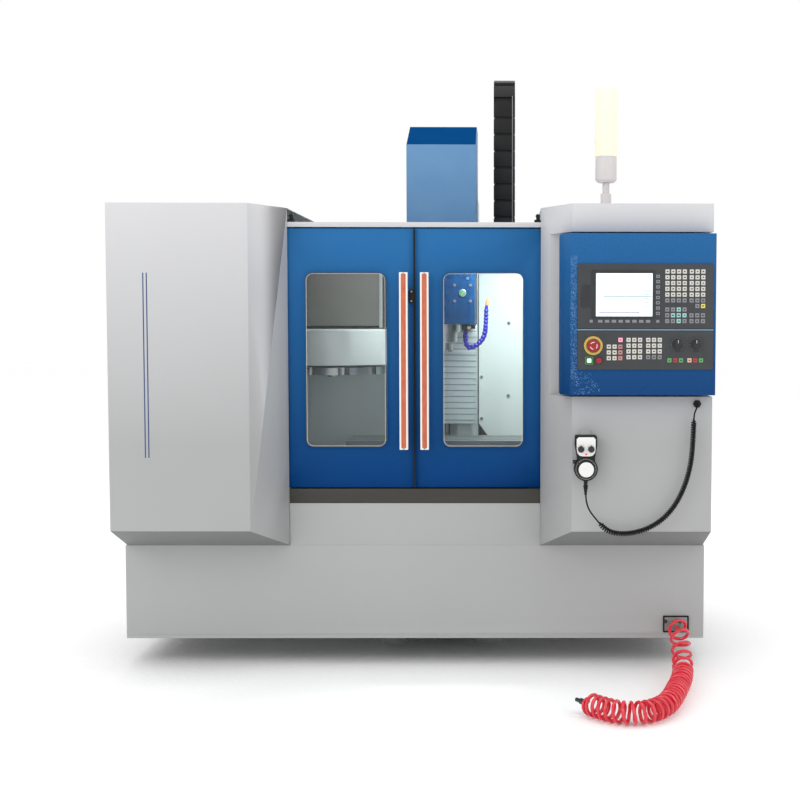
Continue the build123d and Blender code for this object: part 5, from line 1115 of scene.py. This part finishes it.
# %% Stop button's marks
def front_middle(node):
    """The middle of a node's front, in mm."""
    low, high = box_of(node)
    return (low.x + high.x) / 2, low.y, (low.z + high.z) / 2


def arc_bar(bm, x, z, inner, outer, start, end, y0, y1, steps=10):
    """A flat bar bent round (x, z), from one angle to another in degrees."""
    rows = []
    for k in range(steps + 1):
        angle = math.radians(start + (end - start) * k / steps)
        rows.append([bm.verts.new(Vector((x + r * math.cos(angle), y, z + r * math.sin(angle))) * MM)
                     for r, y in ((inner, y0), (outer, y0), (outer, y1), (inner, y1))])
    skin(bm, rows)


stop_x, stop_y, stop_z = front_middle("stop_button")
bm = bmesh.new()
for start in (75, 195, 315):
    arc_bar(bm, stop_x, stop_z, 9.5, 11.6, start, start + 70, stop_y - 0.25, stop_y + 0.5)
make_piece("stop_arcs", bm, "stop_button", "red_plastic", coat.mark_white)
# Painted shade: a dark band where the collar's groove is.
bm = bmesh.new()
arc_bar(bm, stop_x, stop_z, 20.4, 21.4, 0, 359.9, PANEL_FACE - 6.25, PANEL_FACE - 1.5, steps=48)
make_piece("stop_ring_groove_shade", bm, *PANEL, coat.bezel_foil)
print("stop button at", round(stop_x), round(stop_z))

# %% [markdown]
# The two override knobs are gloss black with a white pointer, on a dark plate in a ring of pale ticks.

# %% Override knobs
grey_ticks = scale_tree("grey_scale_ticks", coat.key_grey)
for knob in ("speed_knob", "feed_knob"):
    softened(knob, knob, "black_plastic", coat.black_gloss, 0.4)
    x, y, _ = front_middle(knob)
    z = box_of(knob)[0].z + 15
    spun(knob + "_plate", *PANEL, coat.bezel_foil, [(0, 0), (24, 0), (23.6, 0.5), (0, 0.5)],
         facing(x, PANEL_FACE + 0.1, z), steps=48)
    dial_scale(knob + "_scale", grey_ticks, 17, 0.0205, 0.0034, 0.001, 290,
               [(x, PANEL_FACE - 0.55, z)], *KEYS)
    bars(knob + "_pointer", knob, "black_plastic", coat.mark_white,
         (x - 0.7, x + 0.7, y - 0.25, y + 0.4, z + 4, z + 13.5), bevel=0.2)

# %% [markdown]
# The pendant is a black moulded case with a pale face plate for the two selectors and a round white
# dial in a black ring below them.

# %% Pendant
softened("pendant", "root", "pendant_grey", coat.black_nylon, 1.0,
         others=[(coat.powder_grey, lambda middle, size: size.x < 32)])
for node, bevel in (("pendant_dial", 0.6), ("axis_selector", 0.4), ("step_selector", 0.4),
                    ("enable_button", 0.4)):
    softened(node, node, "black_plastic", coat.black_gloss, bevel)
PENDANT_X, PENDANT_FACE = 550.0, front_of("pendant")
PLATE_RIGHT = [(10, 720.5), (20, 722.5), (27.5, 731), (29.5, 742), (29.5, 774), (23.5, 780.4)]
outline = PLATE_RIGHT + [(-x, z) for x, z in reversed(PLATE_RIGHT)]
bm = bmesh.new()
skin(bm, [[bm.verts.new(facing(PENDANT_X, PENDANT_FACE + 0.4, 0) @ (Vector((x, z, depth)) * MM))
           for x, z in outline] for depth in (0, 1.3)])
make_piece("pendant_face_plate", bm, "root", "pendant_grey", coat.pendant_white, 0.4)
spun("pendant_light", "root", "red_plastic", coat.lit_red,
     [(0, 0), (3.0, 0), (3.0, 1.6), (2.2, 2.4), (0, 2.6)],
     facing(PENDANT_X, PENDANT_FACE - 0.6, 727), steps=20)
dial_x, dial_y, dial_z = front_middle("pendant_dial")
spun("pendant_dial_face", "pendant_dial", "pendant_grey", coat.pendant_white,
     [(0, 0), (23.5, 0), (23.5, 0.7), (22.9, 1.2), (3, 1.2), (2.4, 0.7), (0, 0.7)],
     facing(dial_x, dial_y + 0.4, dial_z), steps=48)
spun("pendant_strain_relief", *BLACK, coat.rubber,
     [(0, 0), (7.5, 0), (7.5, 5), (6.4, 7), (6.4, 12), (5.2, 14), (5.2, 20), (4.2, 22), (4.2, 30), (0, 30)],
     facing(PENDANT_X, CORD_Y, 628, (0, 0, -1)), steps=24)
dial_scale("pendant_selector_scales", scale_tree("dark_scale_ticks", coat.bezel_foil), 7, 0.0125, 0.0022,
           0.0008, 200, [(x, PENDANT_FACE - 0.95, 743) for x in (534, 566)], *BLACK)
dial_scale("pendant_dial_scale", scale_tree("pale_scale_ticks", coat.mark_white), 60, 0.0315, 0.003, 0.0006,
           354, [(dial_x, PENDANT_FACE - 0.05, dial_z)], "root", "key_plastic")

# %% [markdown]
# The chamber seen through the windows: white glossy walls held by zinc plated screws, and the
# magazine's pale hat under a grey housing with a black rubber strip.

# %% Chamber
WALL_SCREWS = [(308.6, 1132.3), (205, 926.6), (306.7, 855.6), (205, 768.3), (-70, 926.6), (-70, 768.3)]
WALL_FACE, HEAD_FACE, HOUSING_FACE = (front_of(node) for node in ("rear_walls", "head_casting",
                                                                  "magazine_housing"))
screws("wall_screws", [(x, WALL_FACE, z) for x, z in WALL_SCREWS], "root", 7.0, 3.2)
softened("magazine_housing", "root", "white_wall", coat.housing_paint, 1.0,
         others=[(coat.hat_paint, lambda middle, size: middle.z < 1150 or size.z < 100)])
bars("magazine_rubber_strip", *BLACK, coat.rubber,
     (-589, -141, HOUSING_FACE - 1.5, HOUSING_FACE + 0.5, 1117, 1124), bevel=0.4)
bars("magazine_corner_post", "root", "white_wall", coat.hat_paint,
     (-141, -131, HOUSING_FACE - 2.0, HOUSING_FACE + 6, 1117, 1329), bevel=0.8)

# %% [markdown]
# The front of the blue head carries a green sight glass in a plated ring, with four screws round it and
# four more along the casting's edges.

# %% Head
PLUG_X, PLUG_Z, PLUG_STEP = 145.0, 1239.5, 28.0
spun("head_sight_ring", "head", "machined_steel", coat.zinc_steel,
     [(0, 0), (13, 0), (13, 3), (11, 4), (9, 4), (8.4, 2.2), (0, 2.2)],
     facing(PLUG_X, HEAD_FACE + 0.5, PLUG_Z))
spun("head_sight_glass", "head", "green_plastic", coat.sight_green, [(0, 0), (8.2, 0), (7.6, 1.6), (0, 2.2)],
     facing(PLUG_X, HEAD_FACE - 1.4, PLUG_Z))
head_screws = [(PLUG_X + a * PLUG_STEP, PLUG_Z + b * PLUG_STEP) for a in (-1, 1) for b in (-1, 1)]
head_screws += [(161, 1310), (163, 1291), (-20, 1211.5), (-20, 1267.5)]
screws("head_screws", [(x, HEAD_FACE, z) for x, z in head_screws], "head", 4.6, 3.0)
dress(coat.head_blue, "head_casting")

# %% [markdown]
# The coolant hose is made of ball segments that snap together, so its bend is a row of beads along a
# spline, one for every 13.5 mm of length, between a brass valve and an orange nozzle.

# %% Coolant hose
softened("coolant_pipe", "head", "coolant_blue", coat.coolant_blue, 0.4,
         others=[(coat.black_nylon, lambda middle, size: size.z < 30)],
         by_face=[(coat.nozzle_orange, lambda spot, normal: spot.z > 1195)])
COOLANT_ROUTE = [(154, -60, 1107), (152, -66, 1069), (164, -70, 1045), (194, -70, 1053), (220, -68, 1083),
                 (227, -66, 1137), (228, -66, 1187)]
FIRST_BEAD, BEAD_STEP = 0.006, 0.0135
beads, due = [], FIRST_BEAD
for spot, reach in zip(*route_points("coolant_route", COOLANT_ROUTE)):
    if reach >= due:
        beads.append(tuple(spot / MM))
        due += BEAD_STEP
grown("coolant_beads", bead_tree("coolant_bead", coat.coolant_blue),
      {"Bead radius": 0.0084, "Bead sides": 16}, beads, "head")
spun("coolant_valve_ball", "head", "fitting_metal", coat.nickel_brass,
     [(0, 0), (7, 0), (9, 2.5), (9, 5), (6.5, 8.5), (0, 10)], facing(164, -83, 1118), steps=24)
print("coolant beads", len(beads))

# %% [markdown]
# What is hardly seen keeps its CAD mesh and only gets its finish: enamelled castings, ground slides and
# screws, and black servos.

# %% Inner parts
dress(coat.cast_paint, "bed_casting", "saddle")
dress(coat.slat_steel, "column")
dress(coat.ground_steel, "guide_rails", "work_table", "x_screw", "y_screw", "z_screw", "spindle_shaft",
      "spindle_cartridge", "motor_pulley", "tool_disc", "magazine_carriage")
dress(coat.black_nylon, "axis_servos", "x_servo", "spindle_motor", "cord_gland")
dress(coat.powder_grey, "levelling_feet")

# %% [markdown]
# The air line enters the base through a plated steel plate in a dark frame, with two capped ports
# beside it. The hose ends in a fitting of the same blackened steel.

# %% Air inlet
softened("air_inlet", "root", "fitting_metal", coat.gunmetal, 0.6,
         others=[(coat.inlet_steel, lambda middle, size: size.x > 50)])
dress(coat.gunmetal, "hose_end")
PLATE_FACE = -511.0
rim("inlet_frame", *BLACK, coat.rubber, (821, 907, 110, 166, 4), (826, 902, 115, 161, 3), PLATE_FACE - 1.6,
    PLATE_FACE + 0.4, 0.4)
bm = bmesh.new()
for x, r, steps in ((829.0, 5.5, 6), (875.5, 6.5, 24)):
    turned(bm, [(0, 0), (r + 1.5, 0), (r + 1.5, 3), (r, 4), (r, 9), (r - 2, 9), (r - 2, 5), (0, 5)],
           facing(x, PLATE_FACE + 0.4, 147), steps)
make_piece("spare_air_ports", bm, "root", "fitting_metal", coat.gunmetal, 0.4)
screws("inlet_screws", [(x, PLATE_FACE, z) for x in (833, 895) for z in (121, 155)], "root", 2.8, 1.8)

# %% [markdown]
# Behind the machine the electrical cabinet's door carries three blocks of pressed louvres and a row of
# screws at its top and its bottom. The louvres are slats tilted down so that splashes run off them.

# %% Back of the machine
def louvre_tree(name, finish):
    tree, given = new_tree(name, Slat_count="Int", Slat_pitch="Float", Slat_length="Float",
                           Slat_height="Float", Tilt="Float")
    step = add_node(tree, "ShaderNodeCombineXYZ", {"Z": given["Slat pitch"]})
    row = add_node(tree, "GeometryNodeMeshLine", {"Count": given["Slat count"], "Offset": step})
    size = add_node(tree, "ShaderNodeCombineXYZ",
                    {"X": given["Slat length"], "Y": 0.0016, "Z": given["Slat height"]})
    slat = add_node(tree, "GeometryNodeMeshCube", {"Size": size})
    lean = add_node(tree, "ShaderNodeCombineXYZ", {"X": given["Tilt"]})
    stack = add_node(tree, "GeometryNodeInstanceOnPoints",
                     {"Points": row, "Instance": slat, "Rotation": lean})
    laid = add_node(tree, "GeometryNodeInstanceOnPoints", {"Points": given["Places"], "Instance": stack})
    return finished(tree, laid, finish)


DOOR_BACK = 766.0
grown("door_louvres", louvre_tree("pressed_louvres", coat.powder_grey),
      {"Slat count": 9, "Slat pitch": 0.018, "Slat length": 0.16, "Slat height": 0.012,
       "Tilt": math.radians(28)},
      [(x, DOOR_BACK + 1.2, z) for x, z in ((-300, 560), (-300, 1210), (240, 1210))],
      "electrical_door")
screws("door_screws", [(x, DOOR_BACK, z) for x in (-560, -180, 180, 500) for z in (470, 1450)],
       "electrical_door", 5.0, 2.4, TO_REAR)
